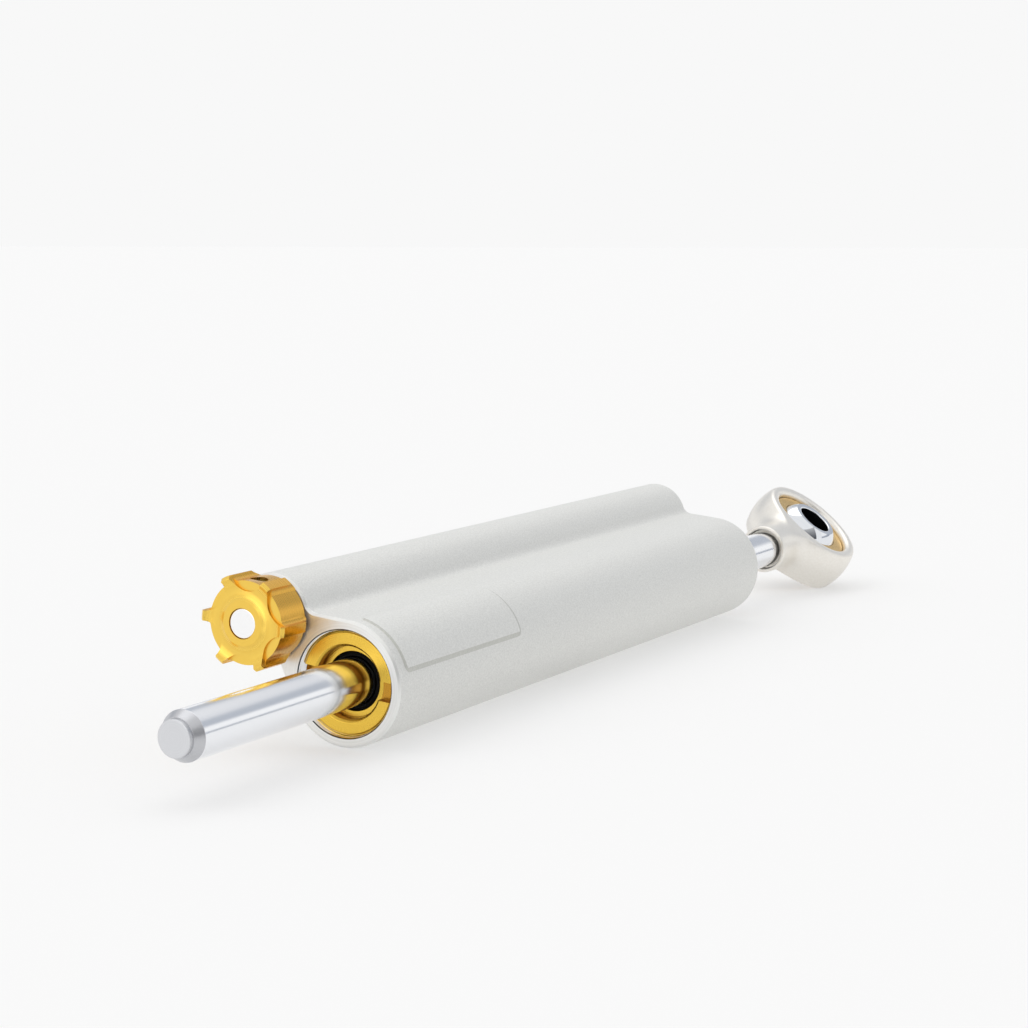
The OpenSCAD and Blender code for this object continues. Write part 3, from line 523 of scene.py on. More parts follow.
def coil_group():
    """A coil spring: a round wire swept along a helix about Z, with its ends drawn in by half a
    wire."""
    steps_a_turn = 40
    steps_round = 14
    group, given = new_group("coil_spring", ["Mean radius", "Length", "Turns", "Wire"])
    wire, radius = given["Wire"], given["Mean radius"]
    half_wire = add(group, "ShaderNodeMath", {0: wire, 1: 0.5}, operation="MULTIPLY").outputs[0]
    height = add(group, "ShaderNodeMath", {
        0: given["Length"], 1: wire,
    }, operation="SUBTRACT").outputs[0]
    helix = add(group, "GeometryNodeCurveSpiral", {
        "Resolution": steps_a_turn, "Rotations": given["Turns"], "Start Radius": radius,
        "End Radius": radius, "Height": height,
    }).outputs[0]
    lift = add(group, "ShaderNodeCombineXYZ", {"Z": half_wire}).outputs[0]
    placed = add(group, "GeometryNodeTransform", {
        "Geometry": helix, "Translation": lift,
    }).outputs[0]
    section = add(group, "GeometryNodeCurvePrimitiveCircle", {
        "Resolution": steps_round, "Radius": half_wire,
    }).outputs[0]
    swept = add(group, "GeometryNodeCurveToMesh", {
        "Curve": placed, "Profile Curve": section, "Fill Caps": True,
    }).outputs[0]
    finished(group, swept, given["Finish"])
    return group


def forging_group():
    """A ball-joint eye on a shank, as one rounded forging: a ring that bulges like a ball and a
    round bar melt together, and the eye's bore, the mouth round the rod and the stud's hole are cut
    out. Each row of the table is one sum on the distance from a surface, below zero inside it. The
    eye's bore lies along Z."""
    sizes = [
        "Ball", "Rim middle", "Rim half", "Half width", "Bore", "Shank", "Shank reach", "Melt",
        "Mouth", "Mouth reach", "Stud", "Stud reach",
    ]
    group, given = new_group("eye_forging", sizes)
    spot = add(group, "GeometryNodeInputPosition").outputs[0]
    parts = add(group, "ShaderNodeSeparateXYZ", {0: spot}).outputs
    known = {name: given[name] for name in sizes}
    known.update(x=parts["X"], z=parts["Z"])
    for name, share in (
        ("from centre", (1, 1, 1)), ("from bore", (1, 1, 0)), ("from rod", (0, 1, 1)),
    ):
        flat = add(group, "ShaderNodeVectorMath", {0: spot, 1: share}, operation="MULTIPLY")
        length = add(group, "ShaderNodeVectorMath", {0: flat.outputs[0]}, operation="LENGTH")
        known[name] = length.outputs["Value"]
    lip = 0.375
    rim_round, face_round, bore_round = 1.0, 0.5, 0.4
    surface = 0.5
    low_corner, high_corner = (-24.6, -14.0, -6.4), (14.0, 14.0, 6.4)
    cells = {"Resolution X": 176, "Resolution Y": 128, "Resolution Z": 58}
    for name, operation, *values in (
        # Ring: round at its inner edges, and inside a ball
        ("high", "ABSOLUTE", "z"),
        ("shoulder", "SUBTRACT", "Half width", "Rim half"),
        ("up", "SUBTRACT", "high", "shoulder"),
        ("up", "MAXIMUM", "up", 0.0),
        ("in", "SUBTRACT", "Rim middle", "from bore"),
        ("in", "MAXIMUM", "in", 0.0),
        ("up", "MULTIPLY", "up", "up"),
        ("in", "MULTIPLY", "in", "in"),
        ("edge", "ADD", "up", "in"),
        ("edge", "SQRT", "edge"),
        ("edge", "SUBTRACT", "edge", "Rim half"),
        ("bulge", "SUBTRACT", "from centre", "Ball"),
        ("rim", "SMOOTH_MAX", "bulge", "edge", rim_round),
        # Bar: round, with a round lip at its mouth
        ("bar r", "SUBTRACT", "Shank", lip),
        ("side", "SUBTRACT", "from rod", "bar r"),
        ("back", "ADD", "Shank reach", "x"),
        ("back", "SUBTRACT", lip, "back"),
        ("inside", "MAXIMUM", "side", "back"),
        ("inside", "MINIMUM", "inside", 0.0),
        ("side", "MAXIMUM", "side", 0.0),
        ("back", "MAXIMUM", "back", 0.0),
        ("side", "MULTIPLY", "side", "side"),
        ("back", "MULTIPLY", "back", "back"),
        ("bar", "ADD", "side", "back"),
        ("bar", "SQRT", "bar"),
        ("bar", "ADD", "bar", "inside"),
        ("bar", "SUBTRACT", "bar", lip),
        ("bar end", "ADD", "x", "Rim middle"),
        ("bar", "MAXIMUM", "bar", "bar end"),
        # Both as one, no wider than the eye and open at its bore
        ("body", "SMOOTH_MIN", "rim", "bar", "Melt"),
        ("slab", "SUBTRACT", "high", "Half width"),
        ("body", "SMOOTH_MAX", "body", "slab", face_round),
        ("hole", "SUBTRACT", "Bore", "from bore"),
        ("body", "SMOOTH_MAX", "body", "hole", bore_round),
        # Mouth round the rod, and the stud's hole behind it
        ("mouth r", "SUBTRACT", "from rod", "Mouth"),
        ("mouth end", "ADD", "x", "Mouth reach"),
        ("mouth", "MAXIMUM", "mouth r", "mouth end"),
        ("stud r", "SUBTRACT", "from rod", "Stud"),
        ("stud end", "ADD", "x", "Stud reach"),
        ("stud", "MAXIMUM", "stud r", "stud end"),
        ("cut", "MINIMUM", "mouth", "stud"),
        ("cut", "MULTIPLY", "cut", -1.0),
        ("body", "MAXIMUM", "body", "cut"),
        ("density", "SUBTRACT", surface, "body"),
    ):
        links = {i: known.get(value, value) for i, value in enumerate(values)}
        known[name] = add(group, "ShaderNodeMath", links, operation=operation).outputs[0]
    cloud = add(group, "GeometryNodeVolumeCube", {
        "Density": known["density"], "Background": 0.0, "Min": low_corner, "Max": high_corner,
        **cells,
    }).outputs[0]
    skin = add(group, "GeometryNodeVolumeToMesh", {
        "Volume": cloud, "Threshold": surface,
    }).outputs[0]
    finished(group, skin, given["Finish"])
    return group


# Housing

# A flat flank leaves the rod tube and meets the side tube in a small hollow. The flank is drawn as
# an arc of a very large circle, so that all of the section is arcs.
FLAT_R = 10000.0
FLAT_Y = (ROD_TUBE_R - FLAT_R) * math.cos(FLAT_FROM)
FLAT_Z = (ROD_TUBE_R - FLAT_R) * math.sin(FLAT_FROM)
ACROSS = (ROD_TUBE_R + HOLLOW_R) - SPACING * math.cos(FLAT_FROM)
FLAT_LENGTH = (
    SPACING * math.sin(FLAT_FROM) - math.sqrt((SIDE_TUBE_R + HOLLOW_R) ** 2 - ACROSS ** 2)
)
FLAT_TURN = FLAT_LENGTH / FLAT_R
HOLLOW_Y = (ROD_TUBE_R + HOLLOW_R) * math.cos(FLAT_FROM) + FLAT_LENGTH * math.sin(FLAT_FROM)
HOLLOW_Z = (ROD_TUBE_R + HOLLOW_R) * math.sin(FLAT_FROM) - FLAT_LENGTH * math.cos(FLAT_FROM)
SIDE_TANGENT = math.atan2(HOLLOW_Z, HOLLOW_Y - SPACING)

# Steps round the section and the bores
PANEL_EDGE_STEPS = 22
PANEL_STEPS = 14
TUBE_STEPS = 72
SIDE_STEPS = 84
FLAT_STEPS = 8
HOLLOW_STEPS = 16
BORE_STEPS = 160
SIDE_BORE_STEPS = 96

# Steps along the housing
END_STEPS = 15
CORNER_STEPS = 10
THREAD_STEPS = 56
ROUNDING_STEPS = 8

# Bands of close steps at the panel's sides and ends, and margins round it
EDGE_INSIDE = 0.3
EDGE_OUTSIDE = 0.15
END_OUTSIDE = 0.12
END_INSIDE = 0.48
END_LEAD = 1.5
FLANK_MARGIN = 0.1
ROUNDING_MARGIN = 0.1
CHAMFER_EASING = 0.12
NOT_ON_TUBE = -9


def spread(start, end, count):
    """Even steps from a start up to, but without, an end."""
    return [start + (end - start) * i / count for i in range(count)]


def round_the_housing():
    """Places round the housing's section, closest at the panel's edges: each has its centre, its
    radius, the sign of an inset and its angle."""
    low = PANEL_MIDDLE - PANEL_HALF_SPAN
    high = PANEL_MIDDLE + PANEL_HALF_SPAN
    edge = (PANEL_SLOPE + EDGE_INSIDE) / ROD_TUBE_R
    margin = EDGE_OUTSIDE / ROD_TUBE_R
    main = (
        spread(FLAT_FROM, low - margin, 2)
        + spread(low - margin, low + edge, PANEL_EDGE_STEPS)
        + spread(low + edge, high - edge, PANEL_STEPS)
        + spread(high - edge, high + margin, PANEL_EDGE_STEPS)
        + spread(high + margin, 2 * math.pi - FLAT_FROM, TUBE_STEPS)
    )
    side = spread(-SIDE_TANGENT, SIDE_TANGENT, SIDE_STEPS)
    flat_below = spread(FLAT_FROM, FLAT_FROM - FLAT_TURN, FLAT_STEPS)
    flat_above = spread(FLAT_FROM - FLAT_TURN, FLAT_FROM, FLAT_STEPS)
    hollow_below = spread(math.pi - FLAT_FROM, math.pi - SIDE_TANGENT, HOLLOW_STEPS)
    hollow_above = spread(SIDE_TANGENT - math.pi, FLAT_FROM - math.pi, HOLLOW_STEPS)
    places = [((0, 0), ROD_TUBE_R, -1, a) for a in main]
    places += [((FLAT_Y, -FLAT_Z), FLAT_R, -1, -a) for a in flat_below]
    places += [((HOLLOW_Y, -HOLLOW_Z), HOLLOW_R, 1, a) for a in hollow_below]
    places += [((SPACING, 0), SIDE_TUBE_R, -1, a) for a in side]
    places += [((HOLLOW_Y, HOLLOW_Z), HOLLOW_R, 1, a) for a in hollow_above]
    places += [((FLAT_Y, FLAT_Z), FLAT_R, -1, a) for a in flat_above]
    return places


def panel_rise(x, turn):
    """Height of the raised panel over the rod tube: steep at its ends and corners, gentle along the
    tube."""
    from_middle = abs(x + HALF - PANEL_FROM - PANEL_LENGTH / 2)
    along = from_middle - (PANEL_LENGTH / 2 - PANEL_CORNER)
    from_middle = abs(turn - PANEL_MIDDLE) * ROD_TUBE_R
    across = from_middle - (PANEL_HALF_SPAN * ROD_TUBE_R - PANEL_CORNER)
    corner = math.hypot(max(along, 0), max(across, 0))
    outside = corner + min(max(along, across), 0) - PANEL_CORNER
    share = min(-outside / PANEL_END_SLOPE, (PANEL_CORNER - across) / PANEL_SLOPE, 1)
    return PANEL_HEIGHT * max(share, 0)


def thread_dip(depth, turn):
    """Depth of the screw thread in a head bore's wall, faded at both of its ends."""
    starting = min(max((depth - MOUTH_CHAMFER) / THREAD_FADE, 0), 1)
    ending = min(max((THREAD_END - depth) / THREAD_FADE, 0), 1)
    phase = (depth / THREAD_PITCH - turn / (2 * math.pi)) % 1
    return THREAD_DEPTH * (starting * ending) * (1 - abs(2 * phase - 1))


def housing():
    """The housing as one closed skin: its outside with the panel, both bores and the end faces."""
    places = round_the_housing()
    bm = bmesh.new()
    blasted, faced, flank, cut, polished = range(5)
    marks = {}

    def section(x, inset):
        ring = []
        for centre, radius, sign, turn in places:
            on_tube = centre == (0, 0)
            rise = panel_rise(x, turn) if on_tube else 0
            reach = radius + sign * inset + rise
            spot = (x, centre[0] + reach * math.cos(turn), centre[1] + reach * math.sin(turn))
            ring.append(bm.verts.new(ROD_AXIS @ Vector(spot)))
            marks[ring[-1]] = (x, turn if on_tube else NOT_ON_TUBE, rise)
        return ring

    start = PANEL_FROM - HALF
    end = start + PANEL_LENGTH
    rounding_from = HALF - REAR_ROUNDING - ROUNDING_MARGIN
    edge_points = [
        (0, 2, 0), (0, FRONT_CHAMFER, CHAMFER_EASING), (FRONT_CHAMFER, 0, CHAMFER_EASING),
        (3, 0, 0),
    ]
    front_edge = eased(edge_points, False)[1:-1]
    stations = [(p.x - HALF, p.y) for p in front_edge]
    faced_rings = len(stations) - 2
    along = (
        spread(start - END_LEAD, start - END_OUTSIDE, 3)
        + spread(start - END_OUTSIDE, start + END_INSIDE, END_STEPS)
        + spread(start + END_INSIDE, start + PANEL_CORNER, CORNER_STEPS)
        + spread(start + PANEL_CORNER, end - PANEL_CORNER, 18)
        + spread(end - PANEL_CORNER, end - END_INSIDE, CORNER_STEPS)
        + spread(end - END_INSIDE, end + END_OUTSIDE, END_STEPS)
        + spread(end + END_OUTSIDE, end + PANEL_SHADE, 4)
        + spread(end + PANEL_SHADE, rounding_from, 12)
        + [rounding_from]
    )
    stations += [(x, 0) for x in along]
    for step in range(ROUNDING_STEPS + 1):
        a = math.pi / 2 * step / ROUNDING_STEPS
        back, inwards = 1 - math.sin(a), 1 - math.cos(a)
        stations.append((HALF - REAR_ROUNDING * back, REAR_ROUNDING * inwards))
    rings = [section(x, inset) for x, inset in stations]
    for i, (first, second) in enumerate(zip(rings, rings[1:])):
        joined(bm, first, second, faced if i < faced_rings else blasted)

    # Painted shade on the panel's flanks, apart from the one next to the side tube, which melts
    # into the rod tube, and on a strip behind the panel's rear end
    flank_from = PANEL_MIDDLE - PANEL_HALF_SPAN + (PANEL_SLOPE + FLANK_MARGIN) / ROD_TUBE_R
    for face in bm.faces:
        xs, turns, heights = zip(*(marks[corner] for corner in face.verts))
        x, turn = sum(xs) / len(xs), sum(turns) / len(turns)
        below = min(heights) < PANEL_HEIGHT
        sloping = max(heights) > 0 and below
        behind = x > end - 1 and below and panel_rise(x - PANEL_SHADE, turn) > 0
        if (sloping or behind) and turn > flank_from:
            face.material_index = flank

    # The bore for the rod, from face to face, with its thread at each mouth
    bore = []

    def bore_ring(x, r, depth=None):
        ring = []
        for i in range(BORE_STEPS):
            turn = 2 * math.pi * i / BORE_STEPS
            reach = r + (thread_dip(depth, turn) if depth is not None else 0)
            spot = (x, reach * math.cos(turn), reach * math.sin(turn))
            ring.append(bm.verts.new(ROD_AXIS @ Vector(spot)))
        bore.append(ring)

    mouth_r = HEAD_BORE_R + MOUTH_CHAMFER
    threaded = spread(MOUTH_CHAMFER, THREAD_END, THREAD_STEPS) + [THREAD_END]
    bore_ring(-HALF, mouth_r)
    bore_ring(MOUTH_EDGE - HALF, mouth_r - MOUTH_EDGE)
    for depth in threaded:
        bore_ring(depth - HALF, HEAD_BORE_R, depth)
    bore_ring(HEAD_DEPTH - HALF, HEAD_BORE_R)
    bore_ring(HEAD_DEPTH - HALF, CYLINDER_R)
    bore_ring(HALF - HEAD_DEPTH, CYLINDER_R)
    bore_ring(HALF - HEAD_DEPTH, HEAD_BORE_R)
    for depth in reversed(threaded):
        bore_ring(HALF - depth, HEAD_BORE_R, depth)
    bore_ring(HALF - MOUTH_EDGE, mouth_r - MOUTH_EDGE)
    bore_ring(HALF, mouth_r)
    # At each mouth the outermost band takes the painted dark line, and the thread the polished
    # finish
    for i, (first, second) in enumerate(zip(bore, bore[1:])):
        from_end = min(i, len(bore) - 2 - i)
        at_mouth = polished if from_end else cut
        joined(bm, first, second, faced if from_end > len(threaded) else at_mouth)

    # The stepped bore for the adjuster, closed at the rear
    steps = [
        (0, FLANGE_BORE_R), (FLANGE_DEPTH, FLANGE_BORE_R), (FLANGE_DEPTH, SIDE_BORE_R),
        (SEAT_END, SIDE_BORE_R), (SEAT_END, COMPENSATOR_R), (SIDE_BORE_END, COMPENSATOR_R),
        (SIDE_BORE_END, 0),
    ]
    side_bore = [ring_of(bm, SIDE_AXIS, x - HALF, r, SIDE_BORE_STEPS) for x, r in steps]
    for first, second in zip(side_bore, side_bore[1:]):
        joined(bm, first, second, faced)

    # The two end faces
    for loops, index in (
        ((rings[0], bore[0], side_bore[0]), faced), ((rings[-1], bore[-1]), blasted),
    ):
        edges = []
        for loop in loops:
            edges += [bm.edges.get((a, b)) for a, b in zip(loop, loop[1:] + loop[:1])]
        made = bmesh.ops.triangle_fill(bm, use_beauty=True, edges=edges)
        for face in made["geom"]:
            if isinstance(face, bmesh.types.BMFace):
                face.material_index = index
        for edge in edges:
            edge.smooth = False
    finishes = [FINISHES["blasted_aluminium"], FACED, FLANK_PAINTED_SHADE, MOUTH_PAINTED_SHADE, POLISHED]
    return kept("damper_housing", bm, finishes)


dress(housing(), "housing", "blasted_aluminium", "housing")


# Knob and lock rings, from their solids with the sharp edges eased

KNOB_EASING = 0.1
RING_EASING = 0.06
LEANING = 0.5

# The knob's bites are drawn shallower than in the solid. Its front is one gold, its sides a darker
# gold that is painted shade.
BITE_DEPTH = 2.3
BITE_LIFT = -1.0
KNOB_FRONT = min(v.co.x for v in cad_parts["knob"].data.vertices) / MM
knob = eased_copy(
    "adjuster_knob", "knob", KNOB_EASING, [FINISHES["gold_knob"], FINISHES["gold_side_painted_shade"]],
    lambda middle, normal: 1 if normal.x > -LEANING else 0,
    (KNOB_FRONT + BITE_DEPTH, BITE_LIFT),
)
dress(knob, "knob", "gold_knob", "knob")

# A ring's front is bright. Deeper in, painted shade: its walls are dark and its slot floors between
# both.
RING_FRONT_DEPTH = 1.4


def ring_finish(middle, normal):
    """Which of a lock ring's golds a face has: the bright front, or the painted shade deeper in."""
    if abs(middle.x) > HALF - RING_FRONT_DEPTH:
        return 0
    return 1 if abs(normal.x) < LEANING else 2


ring_golds = [FINISHES[gold] for gold in ("gold_anodised", "gold_wall_painted_shade", "gold_floor_painted_shade")]
for end in ("front", "rear"):
    solid = end + "_lock_ring"
    ring = eased_copy(end + "_ring_nut", solid, RING_EASING, ring_golds, ring_finish)
    dress(ring, "housing", "gold_anodised", solid)


# Seal heads and wipers: corners as (depth from an end face, radius, easing)

HEAD_R = 8.75
HEAD_POINTS = [
    (3.1, 5.0, 0.06), (3.1, 5.95, 0.08), (3.5, 5.95, 0), (3.5, HEAD_R, 0),
    (15.4, HEAD_R, 0), (15.4, 7.1, 0), (17.5, 7.1, 0), (17.5, HEAD_R, 0),
    (19.5, HEAD_R, 0), (20.5, 7.95, 0), (30.2, 7.95, 0), (31.2, HEAD_R, 0),
    (HEAD_DEPTH, HEAD_R, 0), (HEAD_DEPTH, 5.15, 0), (24.2, 5.15, 0), (24.2, 4.2, 0),
    (13.9, 4.2, 0), (13.9, 6.15, 0), (9.9, 6.15, 0), (9.9, 4.2, 0),
    (7.9, 4.2, 0), (7.9, 6.45, 0), (4.3, 6.45, 0), (4.3, 5.0, 0),
]
WIPER_POINTS = [
    (3.5, 4.1, 0.08), (3.3, 4.35, 0.12), (3.9, 4.95, 0.1), (4.3, 4.95, 0),
    (4.3, 6.4, 0), (7.9, 6.4, 0.2), (7.9, 4.7, 0.2), (5.3, 4.7, 0.2),
]
for end, sign in (("front", -1), ("rear", 1)):
    for name, points, slot, node in (
        (end + "_head", HEAD_POINTS, "gold_anodised", end + "_seal_head"),
        (end + "_wiper_ring", WIPER_POINTS, "black_rubber", end + "_wiper"),
    ):
        placed = [(sign * (HALF - depth), r, ease) for depth, r, ease in points]
        piece = turned(name, placed, ROD_AXIS, [FINISHES[slot]], closed=True)
        dress(piece, "housing", slot, node)


# Spindle of the adjuster: corners as (depth from the front face, radius, easing)

SPINDLE_POINTS = [
    (-8.4, 0, 0), (-8.4, 2.5, 0.18), (5.1, 2.5, 0.05), (5.1, 1.55, 0.05), (6.4, 1.55, 0.05),
    (6.4, 2.5, 0.05), (8.1, 2.5, 0), (8.1, 3.45, 0.1), (10.0, 3.45, 0.1), (10.0, 2.5, 0),
    (19.9, 2.5, 0.1), (19.9, 1.6, 0), (9.9, 1.6, 0), (9.9, 0, 0),
]
spindle = turned(
    "adjuster_stem", [(depth - HALF, r, ease) for depth, r, ease in SPINDLE_POINTS], SIDE_AXIS,
    [FINISHES["spindle_steel"]],
)
dress(spindle, "knob", "spindle_steel", "adjuster_spindle")


# Rod: a boss and a cone at the tip, grooves for the piston's clips, and a stud in the rod end

GROOVE_DEPTH = 0.6
GROOVE_WIDTH = 1.1
CLIP_INSET = 0.3
CLIP_GAP = 0.05
GROOVE_R = ROD_R - GROOVE_DEPTH
GROOVE_FAR = PISTON_HALF - CLIP_INSET + CLIP_GAP
GROOVE_NEAR = GROOVE_FAR - GROOVE_WIDTH
STUD_START = HALF + SHANK_BEHIND + ROD_IN_SHANK
STUD_R = 3.25
STUD_LENGTH = 8.5
STUD_END = STUD_START + STUD_LENGTH
CONE_START = ROD_FRONT - TIP_CONE
TIP = CONE_START - TIP_BOSS
TIP_FACE_DEPTH = 0.1
CONE_OVERLAP = 0.05
rod_points = [
    (TIP, 0, 0), (TIP, TIP_BOSS_R, 0.2), (CONE_START, TIP_BOSS_R, 0.04),
    (CONE_START, TIP_BOSS_R + CONE_STEP, 0.06), (ROD_FRONT, ROD_R, 0.3),
]
for sign in (-1, 1):
    reaches = (GROOVE_FAR, GROOVE_NEAR) if sign < 0 else (GROOVE_NEAR, GROOVE_FAR)
    first, second = (PISTON_MIDDLE + sign * reach for reach in reaches)
    rod_points += [
        (first, ROD_R, 0.05), (first, GROOVE_R, 0.05),
        (second, GROOVE_R, 0.05), (second, ROD_R, 0.05),
    ]
rod_points += [
    (STUD_START, ROD_R, 0.1), (STUD_START, STUD_R, 0.1), (STUD_END, STUD_R, 0.4), (STUD_END, 0, 0),
]
rod = turned(
    "chromed_rod", rod_points, ROD_AXIS,
    [FINISHES["hard_chrome"], FINISHES["ground_steel"], FINISHES["turned_steel"]],
    pick=lambda x, r: 1 if x < TIP + TIP_FACE_DEPTH else 2 if x < ROD_FRONT + CONE_OVERLAP else 0,
)
dress(rod, "rod", "hard_chrome", "rod")


# Rod end: the forging, its race and its ball

RIM_ROOM = EYE_R - EYE_HALF + RACE_R
RIM_HALF = math.sqrt(RIM_ROOM ** 2 + EYE_R ** 2 - EYE_HALF ** 2 - RACE_R ** 2) - RIM_ROOM
forging = grown("eye_forging", forging_group(), {
    "Ball": EYE_R, "Rim middle": RACE_R + RIM_HALF, "Rim half": RIM_HALF, "Half width": EYE_HALF,
    "Bore": RACE_R, "Shank": SHANK_R, "Shank reach": SHANK_LENGTH, "Melt": 6.0,
    "Mouth": SHANK_MOUTH_R, "Mouth reach": SHANK_MOUTH_REACH,
    "Stud": STUD_HOLE_R, "Stud reach": STUD_HOLE_REACH, "Finish": FINISHES["nickel_steel"],
}, EYE_PLACE)
dress(forging, "rod", "nickel_steel", "rod_end")


def arc(radius, half, count):
    """Points of a ball's side, out to half a width along its axis both ways."""
    a, b = math.asin(-half / radius), math.asin(half / radius)
    turns = [a + (b - a) * i / count for i in range(count + 1)]
    return [(radius * math.sin(t), radius * math.cos(t), 0) for t in turns]


RACE_HALF = 4
RACE_OUTER_R = 9.7
RACE_INNER_R = 8.1
BALL_R = 8
BALL_HALF = 6
BALL_BORE_R = 4
race_points = [(RACE_HALF, RACE_OUTER_R, 0.2), (-RACE_HALF, RACE_OUTER_R, 0.2)]
race_points += arc(RACE_INNER_R, RACE_HALF, 24)
race = turned("race_ring", race_points, EYE_AXIS, [FINISHES["bronze"]], closed=True)
dress(race, "rod", "bronze", "rod_end_race")
ball_points = arc(BALL_R, BALL_HALF, 40)
ball_points += [(BALL_HALF, BALL_BORE_R, 0.35), (-BALL_HALF, BALL_BORE_R, 0.35)]
# The ball's bore is a near black: painted shade
ball = turned(
    "eye_ball", ball_points, EYE_AXIS, [FINISHES["ball_chrome"], FINISHES["black_steel"]],
    closed=True, pick=lambda x, r: 1 if r < BALL_BORE_R + 0.02 else 0,
)
dress(ball, "ball", "ball_chrome", "rod_end_ball")


# Springs: the detent's in the knob and the compensator's in the housing

coil = coil_group()
TO_X = Matrix.Rotation(math.radians(90), 4, "Y")
DETENT_TURN = Matrix.Rotation(math.radians(240), 4, "X")
DETENT_X = -80.75
DETENT_OUT = 4.2
COMPENSATOR_DEPTH = 115.6
detent_place = SIDE_AXIS @ DETENT_TURN @ Matrix.Translation((DETENT_X, DETENT_OUT, 0)) @ TO_X
detent_coil = grown("detent_coil", coil, {
    "Mean radius": 0.45, "Length": 2.95, "Turns": 2.0, "Wire": 0.3,
    "Finish": FINISHES["spring_steel"],
}, detent_place)
dress(detent_coil, "knob", "spring_steel", "detent_spring")
compensator_place = SIDE_AXIS @ Matrix.Translation((COMPENSATOR_DEPTH - HALF, 0, 0)) @ TO_X
compensator_coil = grown("compensator_coil", coil, {
    "Mean radius": 2.1, "Length": 28.7, "Turns": 11.0, "Wire": 0.9,
    "Finish": FINISHES["spring_steel"],
}, compensator_place)
dress(compensator_coil, "housing", "spring_steel", "compensator_spring")


# Every solid that still shows takes its finish from its slot

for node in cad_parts.values():
    for index, material in enumerate(node.data.materials):
        node.data.materials[index] = FINISHES[material.name]


# Studio: a pale floor, soft light from above, and bent cards that the metal mirrors

scene = bpy.context.scene
scene.view_settings.view_transform = "Standard"
WHITE = "#f8f8f8"
FLOOR_SIZE = 40.0
FLOOR_WHITENESS = 0.46
FILL = 0.82
LAMP_SPREAD = math.radians(50)

# The damper rests on the front of its housing and on its eye, so the floor drops a little towards
# the eye.
FRONT_REST = (-HALF * MM, -ROD_TUBE_R * MM)
EYE_REST = (EYE_X * MM, CAD_BOX[0].z)
FLOOR_SLOPE = (EYE_REST[1] - FRONT_REST[1]) / (EYE_REST[0] - FRONT_REST[0])
FLOOR_Z = FRONT_REST[1] - FLOOR_SLOPE * FRONT_REST[0]

floor_mesh = bpy.data.meshes.new("studio_floor")
side = FLOOR_SIZE / 2
floor_corners = ((-side, -side), (side, -side), (side, side), (-side, side))
floor_mesh.from_pydata(
    [(x, y, FLOOR_Z + FLOOR_SLOPE * x) for x, y in floor_corners], [], [(0, 1, 2, 3)],
)
floor = shown("studio_floor", floor_mesh)
floor_material, floor_tree, floor_shader, _ = started("pale_card", WHITE, 0.9, 0.0)
floor_shader.inputs["Specular IOR Level"].default_value = 0.0
floor_mesh.materials.append(floor_material)

# To the camera and to the metal the floor is partly a plain white, so that its shadow stays faint
floor_rays = add(floor_tree, "ShaderNodeLightPath")
floor_seen = add(floor_tree, "ShaderNodeMath", {
    0: floor_rays.outputs["Is Camera Ray"], 1: floor_rays.outputs["Is Glossy Ray"],
}, operation="MAXIMUM")
floor_share = add(floor_tree, "ShaderNodeMath", {
    0: floor_seen.outputs[0], 1: FLOOR_WHITENESS,
}, operation="MULTIPLY")
floor_white = add(floor_tree, "ShaderNodeEmission", {"Color": linear(WHITE), "Strength": 1.0})
floor_mix = add(floor_tree, "ShaderNodeMixShader", {
    0: floor_share.outputs[0], 1: floor_shader.outputs["BSDF"], 2: floor_white.outputs["Emission"],
})
floor_out = next(n for n in floor_tree.nodes if n.bl_idname == "ShaderNodeOutputMaterial")
floor_tree.links.new(floor_mix.outputs[0], floor_out.inputs["Surface"])

# Cards bent round the object, which only the metal sees: first and last bearing, distance and
# height in metres, strength, and tones upwards
CARDS = {
    # Behind the eye: a grey line at the floor, white, a cool grey stripe, then pale grey
    "far_card": (-75, 75, 2.0, 2.0, 1.0, [
        (0.0, "#a4a9b3"), (0.05, "#b4b9c2"), (0.08, "#ffffff"), (0.25, "#ffffff"),
        (0.36, "#bcc1ca"), (0.56, "#bfc4cc"), (0.7, "#e4e5e8"), (1.0, WHITE),
    ]),
    # On the viewer's side: dim, which gives the rod's tip and the gold their darker flanks
    "near_card": (-150, -95, 1.4, 1.0, 1.0, [
        (0.0, "#4c4d52"), (0.3, "#77787c"), (1.0, "#c4c4c4"),
    ]),
    # In front: a softbox that lights the hollow of the knob's face
    "front_softbox": (150, 200, 1.4, 0.9, 1.6, [
        (0.0, WHITE), (0.2, "#ffffff"), (1.0, "#ffffff"),
    ]),
}


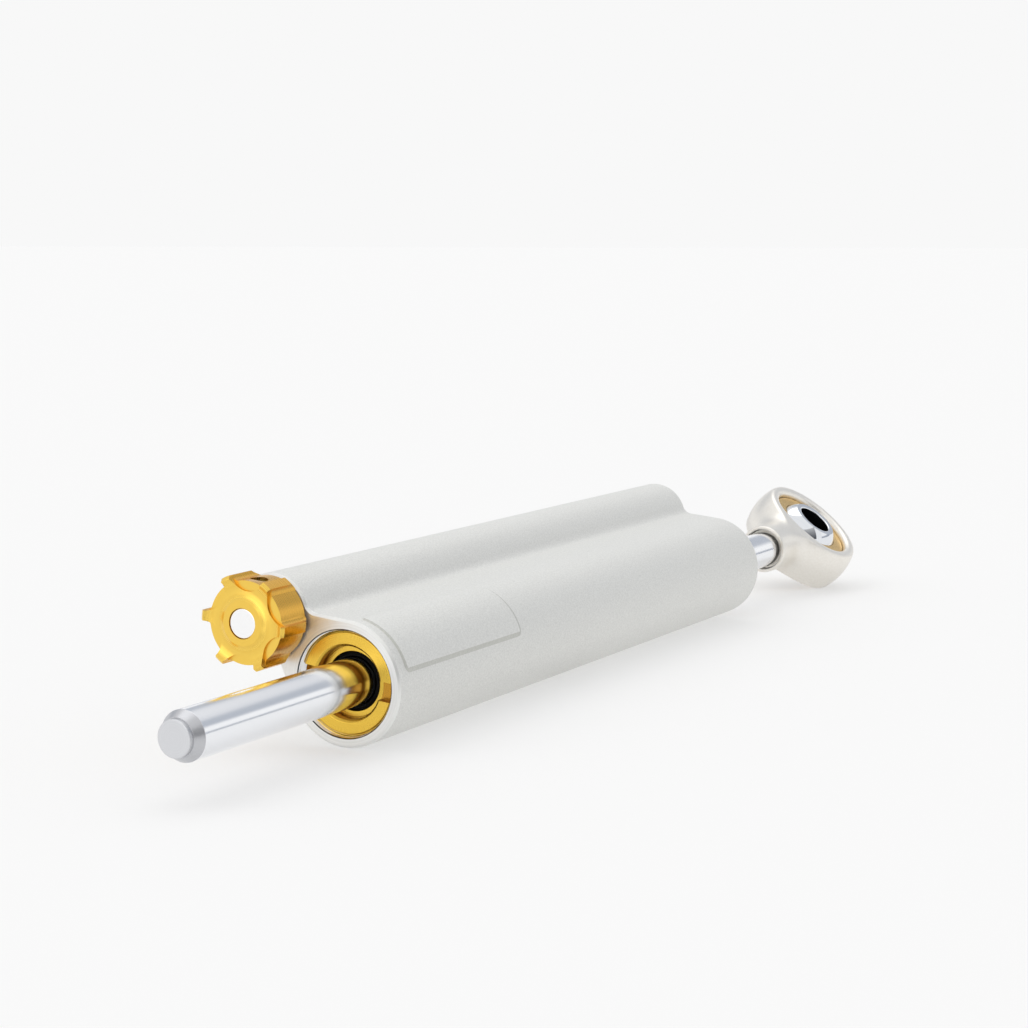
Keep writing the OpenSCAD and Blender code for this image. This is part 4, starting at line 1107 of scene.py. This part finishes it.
def bent_card(name, first, last, radius, top, strength, shades):
    """A glowing card bent round the object from the floor up, hidden from the camera."""
    bm = bmesh.new()
    count = 60
    below_floor = 0.02
    turns = [math.radians(first + (last - first) * i / count) for i in range(count + 1)]
    low, high = (
        [bm.verts.new((radius * math.cos(a), radius * math.sin(a), z)) for a in turns]
        for z in (FLOOR_Z - below_floor, FLOOR_Z + top)
    )
    for i in range(count):
        bm.faces.new([low[i], low[i + 1], high[i + 1], high[i]])
    material = bpy.data.materials.new(name)
    material.use_nodes = True
    tree = material.node_tree
    tree.nodes.clear()
    place = add(tree, "ShaderNodeTexCoord").outputs["Object"]
    height = add(tree, "ShaderNodeSeparateXYZ", {0: place})
    share = add(tree, "ShaderNodeMapRange", {
        "Value": height.outputs["Z"], "From Min": FLOOR_Z, "From Max": FLOOR_Z + top,
    })
    ramp = add(tree, "ShaderNodeValToRGB", {"Fac": share.outputs["Result"]})
    tones = ramp.color_ramp.elements
    for share_up, code in shades[1:-1]:
        tones.new(share_up).color = linear(code)
    tones[0].color = linear(shades[0][1])
    tones[-1].color = linear(shades[-1][1])
    light = add(tree, "ShaderNodeEmission", {
        "Color": ramp.outputs["Color"], "Strength": strength,
    })
    add(tree, "ShaderNodeOutputMaterial", {"Surface": light.outputs["Emission"]})
    card = kept(name, bm, [material])
    card.visible_camera = False
    card.visible_diffuse = False
    card.visible_shadow = False
    return card


[bent_card(name, *made) for name, made in CARDS.items()]

# The world fills the shadows; the camera, metal and glass see a plain white instead
world = bpy.data.worlds.new("studio")
scene.world = world
world.use_nodes = True
sky = world.node_tree
sky.nodes.clear()
rays = add(sky, "ShaderNodeLightPath")
seen = add(sky, "ShaderNodeMath", {
    0: rays.outputs["Is Camera Ray"], 1: rays.outputs["Is Glossy Ray"],
}, operation="MAXIMUM")
seen_too = add(sky, "ShaderNodeMath", {
    0: seen.outputs[0], 1: rays.outputs["Is Transmission Ray"],
}, operation="MAXIMUM")
fill = add(sky, "ShaderNodeBackground", {"Color": linear("#ffffff"), "Strength": FILL})
backdrop = add(sky, "ShaderNodeBackground", {"Color": linear(WHITE), "Strength": 1.0})
chosen = add(sky, "ShaderNodeMixShader", {
    0: seen_too.outputs[0], 1: fill.outputs[0], 2: backdrop.outputs[0],
})
add(sky, "ShaderNodeOutputWorld", {"Surface": chosen.outputs[0]})

# Two broad lamps: one from above that the metal mirrors, and one from the knob's side that it
# doesn't
for name, energy, way, mirrored in (
    ("overhead_softbox", 0.35, (0.35, 0.15, 1.0), True),
    ("side_softbox", 0.42, (-0.35, 0.8, 1.0), False),
):
    sun = bpy.data.lights.new(name, "SUN")
    sun.energy = energy
    sun.angle = LAMP_SPREAD
    lamp = shown(name, sun)
    lamp.rotation_euler = Vector(way).to_track_quat("Z", "Y").to_euler()
    lamp.visible_glossy = mirrored

# The camera, fitted to the photograph's viewing angle
camera = bpy.data.cameras.new("camera")
camera.sensor_width = 36.0
camera.lens = 81.93
camera.clip_start = 0.01
camera.clip_end = 100.0
viewer = shown("camera", camera)
viewer.matrix_world = Matrix((
    (0.469962, 0.108321, -0.876015, -0.393248),
    (-0.882683, 0.054808, -0.466762, -0.200363),
    (-0.002548, 0.992604, 0.121371, 0.073550),
    (0, 0, 0, 1),
))
scene.camera = viewer
